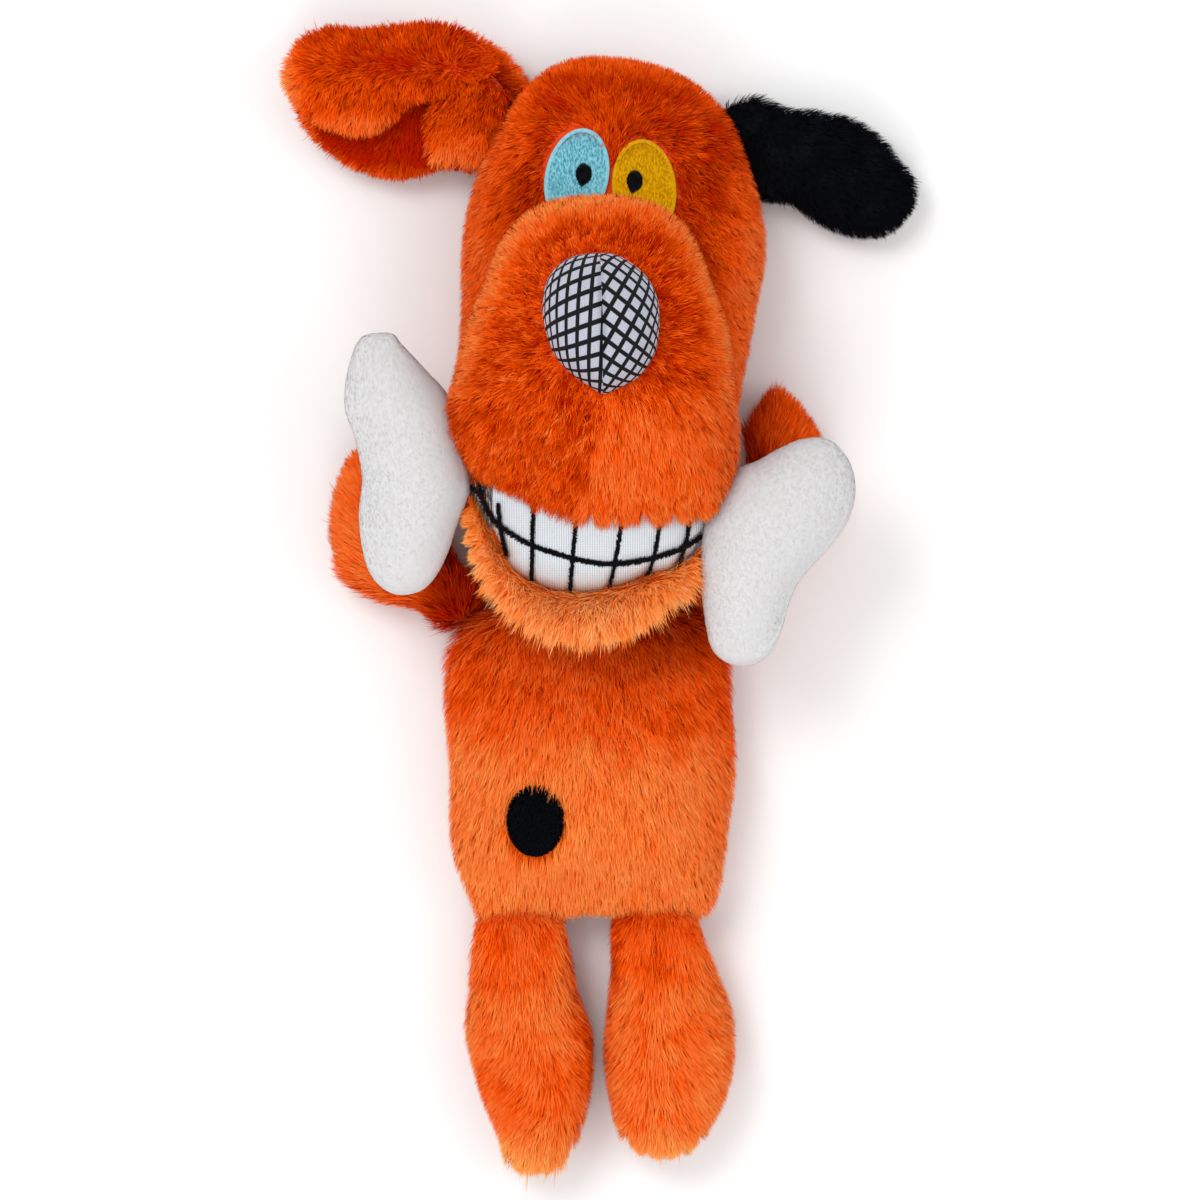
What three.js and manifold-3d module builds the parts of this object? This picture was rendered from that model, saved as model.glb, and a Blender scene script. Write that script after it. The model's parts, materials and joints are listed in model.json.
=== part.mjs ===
// A plush dog that lies on its back with a bone in its mouth.
// +Z points up out of its face, +Y to the top of its head and +X to the picture's right.
// Lengths are millimetres. The origin is the middle of the footprint, on the surface it lies on.
import * as THREE from 'three';
import { mergeVertices } from 'three/addons/utils/BufferGeometryUtils.js';
import Module from 'manifold-3d';

// Sizes across the fur tips, as seen from the front
const torsoWidth = 78;
const torsoLength = 91;
const headWidth = 83;
const headLength = 146;
const muzzleWidth = 75;
const muzzleLength = 88;
const jawWidth = 59;
const jawLength = 34;
const noseWidth = 30.5;
const noseLength = 37;
const legLeftWidth = 34.5;
const legLeftLength = 75.5;
const legRightWidth = 35.5;
const legRightLength = 71.5;
const armLeftWidth = 43;
const armLeftLength = 50;
const armRightWidth = 38.5;
const armRightLength = 67;
const earLeftWidth = 62;
const earLeftLength = 42;
const flapWidth = 57;
const flapLength = 31;
const earRightWidth = 56;
const earRightLength = 39;
const boneLeftWidth = 34;
const boneLeftLength = 70;
const boneRightWidth = 42;
const boneRightLength = 61;
const eyeWidth = 16.9;
const eyeLength = 26;
const pupilWidth = 4.2;
const pupilLength = 5.8;
const spotWidth = 14.3;
const spotLength = 18;

// Heights of the side seams above the surface, and how far each form swells in front of them
const bodySeam = 12;
const torsoRise = 25;
const headRise = 35;
const muzzleSeam = 46;
const muzzleRise = 27;
const muzzleDrop = 26;
const jawSeam = 40;
const jawRise = 15;
const jawDrop = 18;
const noseSeam = 66;
const noseRise = 17;
const noseDrop = 10;
const lipSeam = 44;
const lipHalfHeight = 8.5;
const lipHalfWidth = 5.8;
const legRise = 13.5;
const armSeam = 10;
const armRise = 12;
const earSeam = 8;
const earBaseRise = 5;
const flapSeam = 17;
const flapRise = 6;
const flapDrop = 4;
const blackEarRise = 6;
const boneSeam = 42;
const boneRise = 13;

// Round roots that the limbs turn on
const neckRadius = 15.5;
const neckHalfLength = 15;
const hipRadius = 12.5;
const hipHalfLength = 15.5;
const shoulderRadius = 11;
const shoulderHalfHeight = 11.5;
const shoulderHeight = 11;
const earRootRadius = 5;
const earRootHalfLength = 12.5;
const earRootHeight = 9;

// Fabrics, stitches and clearances
const pileDepth = 4.5;
const velboaThickness = 1.6;
const noseFabric = 1.3;
const knitThickness = 1.8;
const embroideryThickness = 1.4;
const pupilThickness = 0.7;
const eyeSink = 1;
const stitchThickness = 0.7;
const toothLineWidth = 1.4;
const clearance = 0.3;
const restCut = 0.5;
const overrun = 60;
const weldDistance = 1e-4;

// Squeaker bulb
const squeakerRadius = 17;
const squeakerHeight = 13;
const squeakerWall = 1.2;
const squeakerNeckRadius = 4;
const squeakerNeckHeight = 4;
const squeakerBore = 1.8;

// Outlines as seen in the photograph, in its pixels, read clockwise from the top
const outlinePixels = {
  torso: [
    [590, 585], [650, 592], [705, 612], [729, 650], [734, 699], [738, 764], [732, 821], [721, 895],
    [700, 922], [650, 930], [590, 918], [530, 930], [482, 926], [462, 890], [448, 842], [446, 770],
    [441, 690], [447, 640], [475, 610], [530, 592],
  ],
  head: [
    [611, 57], [660, 63], [700, 82], [730, 112], [748, 155], [763, 205], [768, 250], [760, 300],
    [747, 370], [729, 450], [697, 520], [664, 570], [636, 600], [606, 610], [560, 605], [510, 575],
    [470, 520], [455, 450], [455, 380], [459, 310], [461, 235], [476, 169], [505, 110], [530, 80],
    [565, 63],
  ],
  muzzle: [
    [600, 195], [640, 199], [672, 213], [695, 240], [713, 286], [730, 335], [735, 400], [735, 460],
    [722, 508], [690, 520], [650, 526], [600, 530], [545, 522], [500, 508], [470, 480], [452, 440],
    [450, 400], [463, 340], [484, 284], [506, 233], [546, 202],
  ],
  jaw: [
    [592, 465], [650, 470], [690, 488], [703, 522], [696, 548], [674, 570], [645, 580], [607, 592],
    [570, 594], [535, 585], [513, 568], [494, 535], [480, 495], [530, 470],
  ],
  nose: [
    [596, 257], [621, 261], [645, 279], [657, 302], [659, 330], [654, 358], [638, 382], [604, 398],
    [576, 382], [557, 362], [547, 338], [543, 309], [550, 280], [570, 262],
  ],
  legLeft: [
    [517, 893], [552, 898], [572, 918], [575, 950], [578, 985], [590, 1022], [594, 1062], [590, 1104],
    [580, 1138], [560, 1172], [534, 1180], [508, 1170], [490, 1128], [474, 1085], [463, 1030],
    [466, 975], [464, 925], [482, 899],
  ],
  legRight: [
    [656, 893], [692, 899], [710, 922], [720, 965], [733, 1010], [737, 1055], [730, 1096],
    [714, 1130], [694, 1155], [664, 1164], [634, 1155], [617, 1134], [607, 1095], [603, 1050],
    [607, 1000], [608, 960], [602, 922], [622, 899],
  ],
  armLeft: [
    [350, 447], [382, 446], [412, 464], [436, 505], [450, 544], [468, 572], [484, 590], [487, 612],
    [470, 636], [444, 638], [418, 618], [376, 606], [340, 584], [329, 556], [325, 526], [328, 497],
    [337, 468],
  ],
  armRight: [
    [783, 384], [797, 394], [812, 412], [827, 440], [832, 475], [822, 520], [800, 556], [772, 585],
    [752, 614], [734, 636], [708, 638], [688, 620], [686, 594], [704, 568], [726, 540], [740, 505],
    [745, 465], [743, 430], [757, 404], [770, 388],
  ],
  earLeft: [
    [435, 20], [473, 29], [493, 41], [515, 64], [521, 92], [505, 130], [480, 168], [450, 166],
    [430, 173], [395, 180], [357, 172], [328, 154], [301, 132], [290, 105], [282, 70], [300, 38],
    [330, 24], [362, 26], [400, 22],
  ],
  flap: [
    [435, 21], [473, 31], [498, 58], [484, 84], [450, 92], [422, 100], [406, 107], [393, 121],
    [366, 136], [340, 133], [314, 122], [292, 100], [284, 70], [304, 37], [332, 25], [362, 27],
    [400, 23],
  ],
  earRight: [
    [756, 88], [783, 99], [818, 104], [852, 112], [880, 129], [900, 153], [916, 174], [918, 198],
    [907, 217], [890, 232], [866, 236], [840, 231], [811, 217], [790, 202], [757, 196], [722, 170],
    [706, 125], [722, 96],
  ],
  boneLeft: [
    [378, 333], [405, 340], [432, 366], [452, 405], [466, 445], [472, 490], [464, 535], [450, 573],
    [430, 592], [400, 598], [376, 582], [362, 550], [359, 515], [363, 480], [353, 440], [345, 398],
    [350, 358],
  ],
  boneRight: [
    [815, 437], [838, 444], [851, 468], [855, 500], [844, 538], [818, 570], [797, 592], [790, 615],
    [773, 650], [737, 669], [712, 645], [703, 605], [698, 565], [702, 520], [716, 484], [740, 462],
    [775, 445],
  ],
};
const lipPathPixels = [
  [482, 512], [488, 550], [505, 582], [532, 605], [566, 618], [602, 617], [636, 603], [665, 582],
  [688, 560], [700, 536],
];
const toothRowPixels = [
  [474, 500], [503, 530], [532, 547], [572, 560], [610, 566], [648, 561], [682, 550], [708, 534],
];
const toothGapPixels = [502, 533, 573, 615, 651, 681];
const toothGapTopPixel = 480;
const toothGapLeanShare = 0.08;
const neckPixel = [600, 606];
const hipLeftPixel = [519, 926];
const hipRightPixel = [657, 926];
const shoulderLeftPixel = [456, 606];
const shoulderRightPixel = [716, 606];
const earLeftRootPixels = [[534, 90], [478, 172]];
const earRightRootPixels = [[727, 108], [754, 190]];
const eyeLeftPixel = [577, 178];
const eyeRightPixel = [644, 190];
const pupilLeftPixel = [584, 175];
const pupilRightPixel = [635, 182];
const spotPixel = [535, 821];
const boneLeftMouthPixel = [474, 490];
const boneRightMouthPixel = [700, 540];
const muzzlePeakPixel = [600, 350];
const armLeftPeakPixel = [392, 538];
const armRightPeakPixel = [780, 506];
const eyeLean = -0.12;

// Where forms thin out, from the seam to where they are full
const torsoNeckThinPixels = [[590, 600], [590, 770]];
const torsoHipThinPixels = [[590, 930], [590, 820]];
const earLeftThinPixels = [[505, 130], [440, 110]];
const flapThinPixels = [[490, 75], [410, 60]];
const earRightThinPixels = [[740, 145], [840, 165]];

// Fineness of the forms, as counts
const bodySides = 26;
const bodyRings = 4;
const limbSides = 18;
const limbRings = 3;
const innerSides = 10;
const innerRings = 3;
const rootSides = 14;
const patchSides = 5;
const boneSides = 24;
const lipSides = 8;
const lipRings = 10;

const wasm = await Module();
wasm.setup();

// Turns a closed geometry into a solid that can be cut and joined.
function solidOf(geometry) {
  const bare = geometry.clone();
  for (const name of ['normal', 'uv']) {
    bare.deleteAttribute(name);
  }
  const welded = mergeVertices(bare, weldDistance);
  const corners = welded.index.array;
  const triVerts = [];
  for (let i = 0; i < corners.length; i += 3) {
    const [a, b, c] = [corners[i], corners[i + 1], corners[i + 2]];
    if (a !== b && b !== c && c !== a) {
      triVerts.push(a, b, c);
    }
  }
  return new wasm.Manifold(new wasm.Mesh({
    numProp: 3,
    vertProperties: new Float32Array(welded.getAttribute('position').array),
    triVerts: new Uint32Array(triVerts),
  }));
}

function geometryOf(solid) {
  const mesh = solid.getMesh();
  const geometry = new THREE.BufferGeometry();
  const places = new Float32Array(mesh.numVert * 3);
  for (let i = 0; i < mesh.numVert; i += 1) {
    for (let axis = 0; axis < 3; axis += 1) {
      places[i * 3 + axis] = mesh.vertProperties[i * mesh.numProp + axis];
    }
  }
  geometry.setAttribute('position', new THREE.BufferAttribute(places, 3));
  geometry.setIndex(new THREE.BufferAttribute(new Uint32Array(mesh.triVerts), 1));
  geometry.computeVertexNormals();
  return geometry;
}

function cut(solid, ...cutters) {
  return cutters.reduce((rest, cutter) => rest.subtract(cutter), solid);
}

function join(solid, ...others) {
  return others.reduce((whole, other) => whole.add(other), solid);
}

// A block far wider than the toy, between two heights along one axis.
function slab(axis, low, high) {
  const reach = overrun * 10;
  const size = new THREE.Vector3(reach, reach, reach);
  size[axis] = high - low;
  const block = new THREE.BoxGeometry(size.x, size.y, size.z);
  const middle = new THREE.Vector3();
  middle[axis] = (low + high) / 2;
  return solidOf(block.translate(middle.x, middle.y, middle.z));
}

const underFloor = slab('z', -overrun, 0);

// A form knows its photographed outline, its real size and where it sits on the form that carries it.
function makeForm({ outline, width, length, carrier = null, ...rest }) {
  const pixels = outlinePixels[outline];
  const bounds = new THREE.Box2().setFromPoints(pixels.map(([x, y]) => new THREE.Vector2(x, y)));
  const middle = bounds.getCenter(new THREE.Vector2());
  const span = bounds.getSize(new THREE.Vector2());
  const centre = carrier ? placeOn(carrier, [middle.x, middle.y]) : new THREE.Vector2();
  return {
    pixels, middle, span, width, length, centre, ...rest,
  };
}

// Where a pixel of the photograph lies on a form, in its real size.
function placeOn(form, [x, y]) {
  return new THREE.Vector2(
    form.centre.x + ((x - form.middle.x) / form.span.x) * form.width,
    form.centre.y - ((y - form.middle.y) / form.span.y) * form.length,
  );
}

// The form's outline as a smooth closed loop, moved outwards by grow.
function outlineLoop(form, grow, sides) {
  const points = form.pixels.map((pixel) => placeOn(form, pixel));
  const curve = new THREE.CatmullRomCurve3(points.map((p) => new THREE.Vector3(p.x, p.y, 0)), true);
  const loop = curve.getSpacedPoints(sides).slice(0, sides);
  return loop.map((point, i) => {
    const before = loop[(i + sides - 1) % sides];
    const after = loop[(i + 1) % sides];
    const along = after.clone().sub(before).normalize();
    return new THREE.Vector2(point.x - along.y * grow, point.y + along.x * grow);
  });
}

// How much of its full height a form keeps at a point: it thins out towards its seams.
function thinning(form, point) {
  return (form.thinned || []).reduce((kept, { pixels, leastShare }) => {
    const [from, to] = pixels.map((pixel) => placeOn(form, pixel));
    const way = to.sub(from);
    const share = THREE.MathUtils.smoothstep(point.clone().sub(from).dot(way) / way.lengthSq(), 0, 1);
    return kept * THREE.MathUtils.lerp(leastShare, 1, share);
  }, 1);
}

// A stuffed shape: two domes over one outline, joined at the height of the side seam.
function pillow(form, grow = 0, sides = form.sides, rings = form.rings) {
  const loop = outlineLoop(form, grow, sides);
  const heart = form.peakPixel ? placeOn(form, form.peakPixel) : form.centre;
  const places = [];
  const corners = [];
  const height = (point, turn) => {
    const rise = Math.abs(Math.sin(turn)) ** form.fullness;
    const front = (form.rise + grow) * thinning(form, point);
    return form.seam + (turn > 0 ? rise * front : -rise * (form.drop + grow));
  };
  for (let row = 1 - rings; row < rings; row += 1) {
    const turn = (row / rings) * (Math.PI / 2);
    for (const edge of loop) {
      const point = heart.clone().lerp(edge, Math.cos(turn) ** form.fullness);
      places.push(point.x, point.y, height(point, turn));
    }
  }
  const rows = rings * 2 - 1;
  const backPole = rows * sides;
  const frontPole = backPole + 1;
  places.push(heart.x, heart.y, height(heart, -Math.PI / 2));
  places.push(heart.x, heart.y, height(heart, Math.PI / 2));
  for (let side = 0; side < sides; side += 1) {
    const next = (side + 1) % sides;
    for (let row = 0; row < rows - 1; row += 1) {
      const low = row * sides;
      const high = low + sides;
      corners.push(low + side, high + side, low + next);
      corners.push(low + next, high + side, high + next);
    }
    const last = (rows - 1) * sides;
    corners.push(backPole, side, next);
    corners.push(last + side, frontPole, last + next);
  }
  const geometry = new THREE.BufferGeometry();
  geometry.setAttribute('position', new THREE.Float32BufferAttribute(places, 3));
  geometry.setIndex(corners);
  return solidOf(geometry);
}

// A round root about an axis: what turns on it never leaves its socket.
function rootSolid({ centre, axis, radius, halfLength }, grow = 0) {
  const profile = [];
  const steps = 3;
  for (let step = -steps; step <= steps; step += 1) {
    const turn = (step / steps) * (Math.PI / 2);
    const reach = Math.cos(turn) ** 0.5 * (radius + grow);
    const along = Math.sign(turn) * Math.abs(Math.sin(turn)) ** 0.8 * (halfLength + grow);
    profile.push(new THREE.Vector2(Math.abs(step) === steps ? 0 : reach, along));
  }
  const geometry = new THREE.LatheGeometry(profile, rootSides);
  const turned = new THREE.Quaternion().setFromUnitVectors(new THREE.Vector3(0, 1, 0), axis);
  geometry.applyQuaternion(turned);
  geometry.translate(centre.x, centre.y, centre.z);
  return solidOf(geometry);
}

// A tube along a path whose half width and half height shrink towards both ends.
function roll({ path, halfWidth, halfHeight, seam }, grow = 0) {
  const places = [];
  const corners = [];
  const stations = path.getSpacedPoints(lipRings);
  stations.forEach((station, ring) => {
    const share = ring / lipRings;
    const along = path.getTangentAt(share);
    const size = Math.sin(Math.PI * THREE.MathUtils.clamp(share, 0.04, 0.96)) ** 0.35;
    for (let side = 0; side < lipSides; side += 1) {
      const turn = (side / lipSides) * Math.PI * 2;
      const across = Math.cos(turn) * (halfWidth * size + grow);
      const up = Math.sin(turn) * (halfHeight * size + grow);
      places.push(station.x - along.y * across, station.y + along.x * across, seam + up);
    }
  });
  const startCap = places.length / 3;
  const endCap = startCap + 1;
  places.push(stations[0].x, stations[0].y, seam);
  places.push(stations[lipRings].x, stations[lipRings].y, seam);
  for (let side = 0; side < lipSides; side += 1) {
    const next = (side + 1) % lipSides;
    for (let ring = 0; ring < lipRings; ring += 1) {
      const low = ring * lipSides;
      const high = low + lipSides;
      corners.push(low + side, low + next, high + side);
      corners.push(low + next, high + next, high + side);
    }
    const last = lipRings * lipSides;
    corners.push(startCap, next, side);
    corners.push(last + side, last + next, endCap);
  }
  const geometry = new THREE.BufferGeometry();
  geometry.setAttribute('position', new THREE.Float32BufferAttribute(places, 3));
  geometry.setIndex(corners);
  return solidOf(geometry);
}

// An upright oval column, which stamps a patch or its pocket out of a form.
function ovalColumn(centre, base, width, length, lean = 0) {
  const shape = new THREE.Shape();
  shape.absellipse(0, 0, width / 2, length / 2, 0, Math.PI * 2);
  const geometry = new THREE.ExtrudeGeometry(shape, {
    depth: overrun * 2, bevelEnabled: false, curveSegments: patchSides,
  });
  geometry.rotateZ(lean);
  geometry.translate(centre.x, centre.y, base);
  return solidOf(geometry);
}

// A thin upright wall along a line of points, which stamps a stitched line.
function lineWall(points, width) {
  const left = [];
  const right = [];
  points.forEach((point, i) => {
    const before = points[Math.max(i - 1, 0)];
    const after = points[Math.min(i + 1, points.length - 1)];
    const along = after.clone().sub(before).normalize();
    left.push(new THREE.Vector2(point.x - along.y * (width / 2), point.y + along.x * (width / 2)));
    right.push(new THREE.Vector2(point.x + along.y * (width / 2), point.y - along.x * (width / 2)));
  });
  const shape = new THREE.Shape([...left, ...right.reverse()]);
  return solidOf(new THREE.ExtrudeGeometry(shape, { depth: overrun * 2, bevelEnabled: false }));
}

// Forms, each placed on the one that carries it
const bodyLook = { sides: bodySides, rings: bodyRings, fullness: 0.9 };
const limbLook = { sides: limbSides, rings: limbRings, fullness: 0.85 };
const onFloor = (seam) => ({ seam, drop: seam + restCut });

const torso = makeForm({
  outline: 'torso', width: torsoWidth, length: torsoLength, ...onFloor(bodySeam), rise: torsoRise,
  thinned: [
    { pixels: torsoNeckThinPixels, leastShare: 0.6 },
    { pixels: torsoHipThinPixels, leastShare: 0.36 },
  ],
  ...bodyLook,
});
const head = makeForm({
  outline: 'head', width: headWidth, length: headLength, carrier: torso, ...onFloor(bodySeam),
  rise: headRise, ...bodyLook,
});
const muzzle = makeForm({
  outline: 'muzzle', width: muzzleWidth, length: muzzleLength, carrier: head, seam: muzzleSeam,
  rise: muzzleRise, drop: muzzleDrop, peakPixel: muzzlePeakPixel, ...bodyLook,
});
const jaw = makeForm({
  outline: 'jaw', width: jawWidth, length: jawLength, carrier: muzzle, seam: jawSeam, rise: jawRise,
  drop: jawDrop, ...limbLook,
});
const nose = makeForm({
  outline: 'nose', width: noseWidth, length: noseLength, carrier: muzzle, seam: noseSeam,
  rise: noseRise, drop: noseDrop, ...limbLook,
});
const legLeft = makeForm({
  outline: 'legLeft', width: legLeftWidth, length: legLeftLength, carrier: torso,
  ...onFloor(bodySeam), rise: legRise, ...limbLook,
});
const legRight = makeForm({
  outline: 'legRight', width: legRightWidth, length: legRightLength, carrier: torso,
  ...onFloor(bodySeam), rise: legRise, ...limbLook,
});
const armLeft = makeForm({
  outline: 'armLeft', width: armLeftWidth, length: armLeftLength, carrier: torso,
  ...onFloor(armSeam), rise: armRise, peakPixel: armLeftPeakPixel, ...limbLook,
});
const armRight = makeForm({
  outline: 'armRight', width: armRightWidth, length: armRightLength, carrier: torso,
  ...onFloor(armSeam), rise: armRise, peakPixel: armRightPeakPixel, ...limbLook,
});
const earLeft = makeForm({
  outline: 'earLeft', width: earLeftWidth, length: earLeftLength, carrier: head,
  ...onFloor(earSeam), rise: earBaseRise, ...limbLook,
  thinned: [{ pixels: earLeftThinPixels, leastShare: 0.4 }],
});
const flap = makeForm({
  outline: 'flap', width: flapWidth, length: flapLength, carrier: earLeft, seam: flapSeam,
  rise: flapRise, drop: flapDrop, ...limbLook,
  thinned: [{ pixels: flapThinPixels, leastShare: 0.15 }],
});
const earRight = makeForm({
  outline: 'earRight', width: earRightWidth, length: earRightLength, carrier: head,
  ...onFloor(earSeam), rise: blackEarRise, ...limbLook,
  thinned: [{ pixels: earRightThinPixels, leastShare: 0.25 }],
});
const boneLeft = makeForm({
  outline: 'boneLeft', width: boneLeftWidth, length: boneLeftLength, carrier: muzzle,
  seam: boneSeam, rise: boneRise, drop: boneRise, ...limbLook, sides: boneSides,
});
const boneRight = makeForm({
  outline: 'boneRight', width: boneRightWidth, length: boneRightLength, carrier: muzzle,
  seam: boneSeam, rise: boneRise, drop: boneRise, ...limbLook, sides: boneSides,
});

// Round roots
const at = (point, z) => new THREE.Vector3(point.x, point.y, z);
const alongX = new THREE.Vector3(1, 0, 0);
const alongZ = new THREE.Vector3(0, 0, 1);

function earRoot(pixels) {
  const [top, bottom] = pixels.map((pixel) => placeOn(head, pixel));
  const way = top.clone().sub(bottom).normalize();
  return {
    centre: at(top.clone().lerp(bottom, 0.5), earRootHeight),
    axis: new THREE.Vector3(way.x, way.y, 0),
    radius: earRootRadius,
    halfLength: earRootHalfLength,
  };
}

const neck = {
  centre: at(placeOn(torso, neckPixel), neckRadius - restCut),
  axis: alongX,
  radius: neckRadius,
  halfLength: neckHalfLength,
};
const hip = { axis: alongX, radius: hipRadius, halfLength: hipHalfLength };
const hipLeft = { ...hip, centre: at(placeOn(torso, hipLeftPixel), hipRadius - restCut) };
const hipRight = { ...hip, centre: at(placeOn(torso, hipRightPixel), hipRadius - restCut) };
const shoulder = { axis: alongZ, radius: shoulderRadius, halfLength: shoulderHalfHeight };
const shoulderLeft = { ...shoulder, centre: at(placeOn(torso, shoulderLeftPixel), shoulderHeight) };
const shoulderRight = { ...shoulder, centre: at(placeOn(torso, shoulderRightPixel), shoulderHeight) };
const earLeftRoot = earRoot(earLeftRootPixels);
const earRightRoot = earRoot(earRightRootPixels);

// Whole solids, larger ones first; each later one is cut clear of those before it
const roundShare = 1 / Math.cos(Math.PI / rootSides);
const grownRoot = (root) => rootSolid(
  { ...root, radius: root.radius * roundShare },
  clearance * roundShare,
);
const headSockets = [grownRoot(earLeftRoot), grownRoot(earRightRoot)];
const headWhole = join(pillow(head), rootSolid(neck));
const headGrown = join(pillow(head, clearance * 1.5), grownRoot(neck));
const muzzleGrown = pillow(muzzle, clearance * 1.5);
const jawWhole = cut(pillow(jaw), headGrown, muzzleGrown);
const bonesGrown = [pillow(boneLeft, clearance * 1.5), pillow(boneRight, clearance * 1.5)];
const torsoSockets = [neck, hipLeft, hipRight, shoulderLeft, shoulderRight].map(grownRoot);
const torsoGrown = cut(pillow(torso, clearance * 1.5), ...torsoSockets);

const pieces = [];

function addPiece(name, solid, look) {
  pieces.push({ name, solid: cut(solid, underFloor), look });
}

// A skin round a stuffed form, split in two at a plane, with its stuffing inside.
function addStuffed({ names, form, whole, depth, axis, level, cutters, fillCutters, look, fillLook }) {
  const inside = pillow(form, -depth, innerSides, innerRings);
  const skin = cut(whole, inside, ...cutters);
  const [lowName, highName, fillName] = names;
  addPiece(lowName, cut(skin, slab(axis, level - clearance / 2, level + overrun * 9)), look);
  addPiece(highName, cut(skin, slab(axis, level - overrun * 9, level + clearance / 2)), look);
  const fill = pillow(form, -depth - clearance * 1.5, innerSides, innerRings);
  addPiece(fillName, cut(fill, ...fillCutters), fillLook);
}

// A limb: a sleeve that is open where it is sewn on, with its stuffing inside.
function addLimb({ name, form, root, mouth, mouthRadius, depth, cutters, look, fillLook, skinWord }) {
  const whole = cut(root ? join(pillow(form), rootSolid(root)) : pillow(form), ...cutters);
  const opening = new THREE.SphereGeometry(mouthRadius, 8, 5);
  opening.translate(mouth.x, mouth.y, mouth.z);
  const inside = join(pillow(form, -depth, innerSides, innerRings), solidOf(opening));
  addPiece(`${name}_${skinWord}`, cut(whole, inside), look);
  const fill = pillow(form, -depth - clearance * 1.5, innerSides, innerRings);
  addPiece(`${name}_fill`, cut(fill, ...cutters), fillLook);
}

// Looks
const look = (color, roughness = 0.9) => ({ color, roughness, metalness: 0 });
const orangeFur = look(0xe8560f);
const paleOrangeFur = look(0xf08a3c);
const blackFur = look(0x121214);
const stuffing = look(0xf4f2ee);
const velboa = look(0xe8e8ec);
const gridCloth = look(0xc4c4cc);
const knit = look(0xd8d8d4);
const blackThread = look(0x101012, 0.6);
const blueThread = look(0x78c8d7, 0.55);
const yellowThread = look(0xdca50f, 0.55);
const bulbPlastic = look(0xe6e8ea, 0.4);

// Squeaker: a hollow bulb with a bored neck
const squeakerFloor = bodySeam / 2;
const bulbTop = squeakerFloor + squeakerHeight;
const neckTop = bulbTop + squeakerNeckHeight;

function addSqueaker() {
  const profile = [
    [0, squeakerFloor],
    [squeakerRadius * 0.8, squeakerFloor],
    [squeakerRadius, squeakerFloor + squeakerHeight * 0.3],
    [squeakerRadius, squeakerFloor + squeakerHeight * 0.7],
    [squeakerRadius * 0.8, bulbTop],
    [squeakerNeckRadius, bulbTop],
    [squeakerNeckRadius, neckTop],
    [squeakerBore, neckTop],
    [squeakerBore, bulbTop - squeakerWall],
    [squeakerRadius * 0.75, bulbTop - squeakerWall],
    [squeakerRadius - squeakerWall, squeakerFloor + squeakerHeight * 0.68],
    [squeakerRadius - squeakerWall, squeakerFloor + squeakerHeight * 0.32],
    [squeakerRadius * 0.75, squeakerFloor + squeakerWall],
    [0, squeakerFloor + squeakerWall],
  ];
  const geometry = new THREE.LatheGeometry(profile.map(([x, y]) => new THREE.Vector2(x, y)), rootSides);
  geometry.rotateX(Math.PI / 2);
  geometry.translate(torso.centre.x, torso.centre.y, 0);
  addPiece('squeaker', solidOf(geometry), bulbPlastic);
}

// The room that the squeaker takes in the stuffing, open at the back.
function squeakerPocket() {
  const bulb = new THREE.CylinderGeometry(
    squeakerRadius + clearance, squeakerRadius + clearance, bulbTop + clearance + overrun, rootSides,
  );
  bulb.rotateX(Math.PI / 2);
  bulb.translate(torso.centre.x, torso.centre.y, (bulbTop + clearance - overrun) / 2);
  const neckRoom = new THREE.CylinderGeometry(
    squeakerNeckRadius + clearance, squeakerNeckRadius + clearance, neckTop + clearance, rootSides,
  );
  neckRoom.rotateX(Math.PI / 2);
  neckRoom.translate(torso.centre.x, torso.centre.y, (neckTop + clearance) / 2);
  return join(solidOf(bulb), solidOf(neckRoom));
}

// Flat patches that sit in shallow pockets of a fur panel
const eyes = [
  { name: 'eye_left', patchPixel: eyeLeftPixel, pupilPixel: pupilLeftPixel, thread: blueThread },
  { name: 'eye_right', patchPixel: eyeRightPixel, pupilPixel: pupilRightPixel, thread: yellowThread },
];
for (const eye of eyes) {
  eye.patch = placeOn(head, eye.patchPixel);
  eye.pupil = placeOn(head, eye.pupilPixel);
}
const patchFloor = eyeSink + embroideryThickness + clearance;
const headUnderPatch = pillow(head, -patchFloor);
const eyePockets = eyes.map(({ patch }) => cut(
  ovalColumn(patch, head.seam, eyeWidth + clearance * 2, eyeLength + clearance * 2, eyeLean),
  headUnderPatch,
));
const spotPlace = placeOn(torso, spotPixel);
const torsoUnderPatch = pillow(torso, -patchFloor);
const spotPocket = cut(
  ovalColumn(spotPlace, torso.seam, spotWidth + clearance * 2, spotLength + clearance * 2),
  torsoUnderPatch,
);

addStuffed({
  names: ['torso_back_panel', 'torso_front_panel', 'torso_fill'],
  form: torso, whole: pillow(torso), depth: pileDepth, axis: 'z', level: bodySeam,
  cutters: [...torsoSockets, headGrown, spotPocket], fillCutters: [...torsoSockets, squeakerPocket()],
  look: orangeFur, fillLook: stuffing,
});
addSqueaker();
addPiece('belly_spot', cut(
  ovalColumn(spotPlace, torso.seam, spotWidth, spotLength).intersect(pillow(torso, -eyeSink)),
  pillow(torso, -eyeSink - embroideryThickness),
), blackFur);

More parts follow.
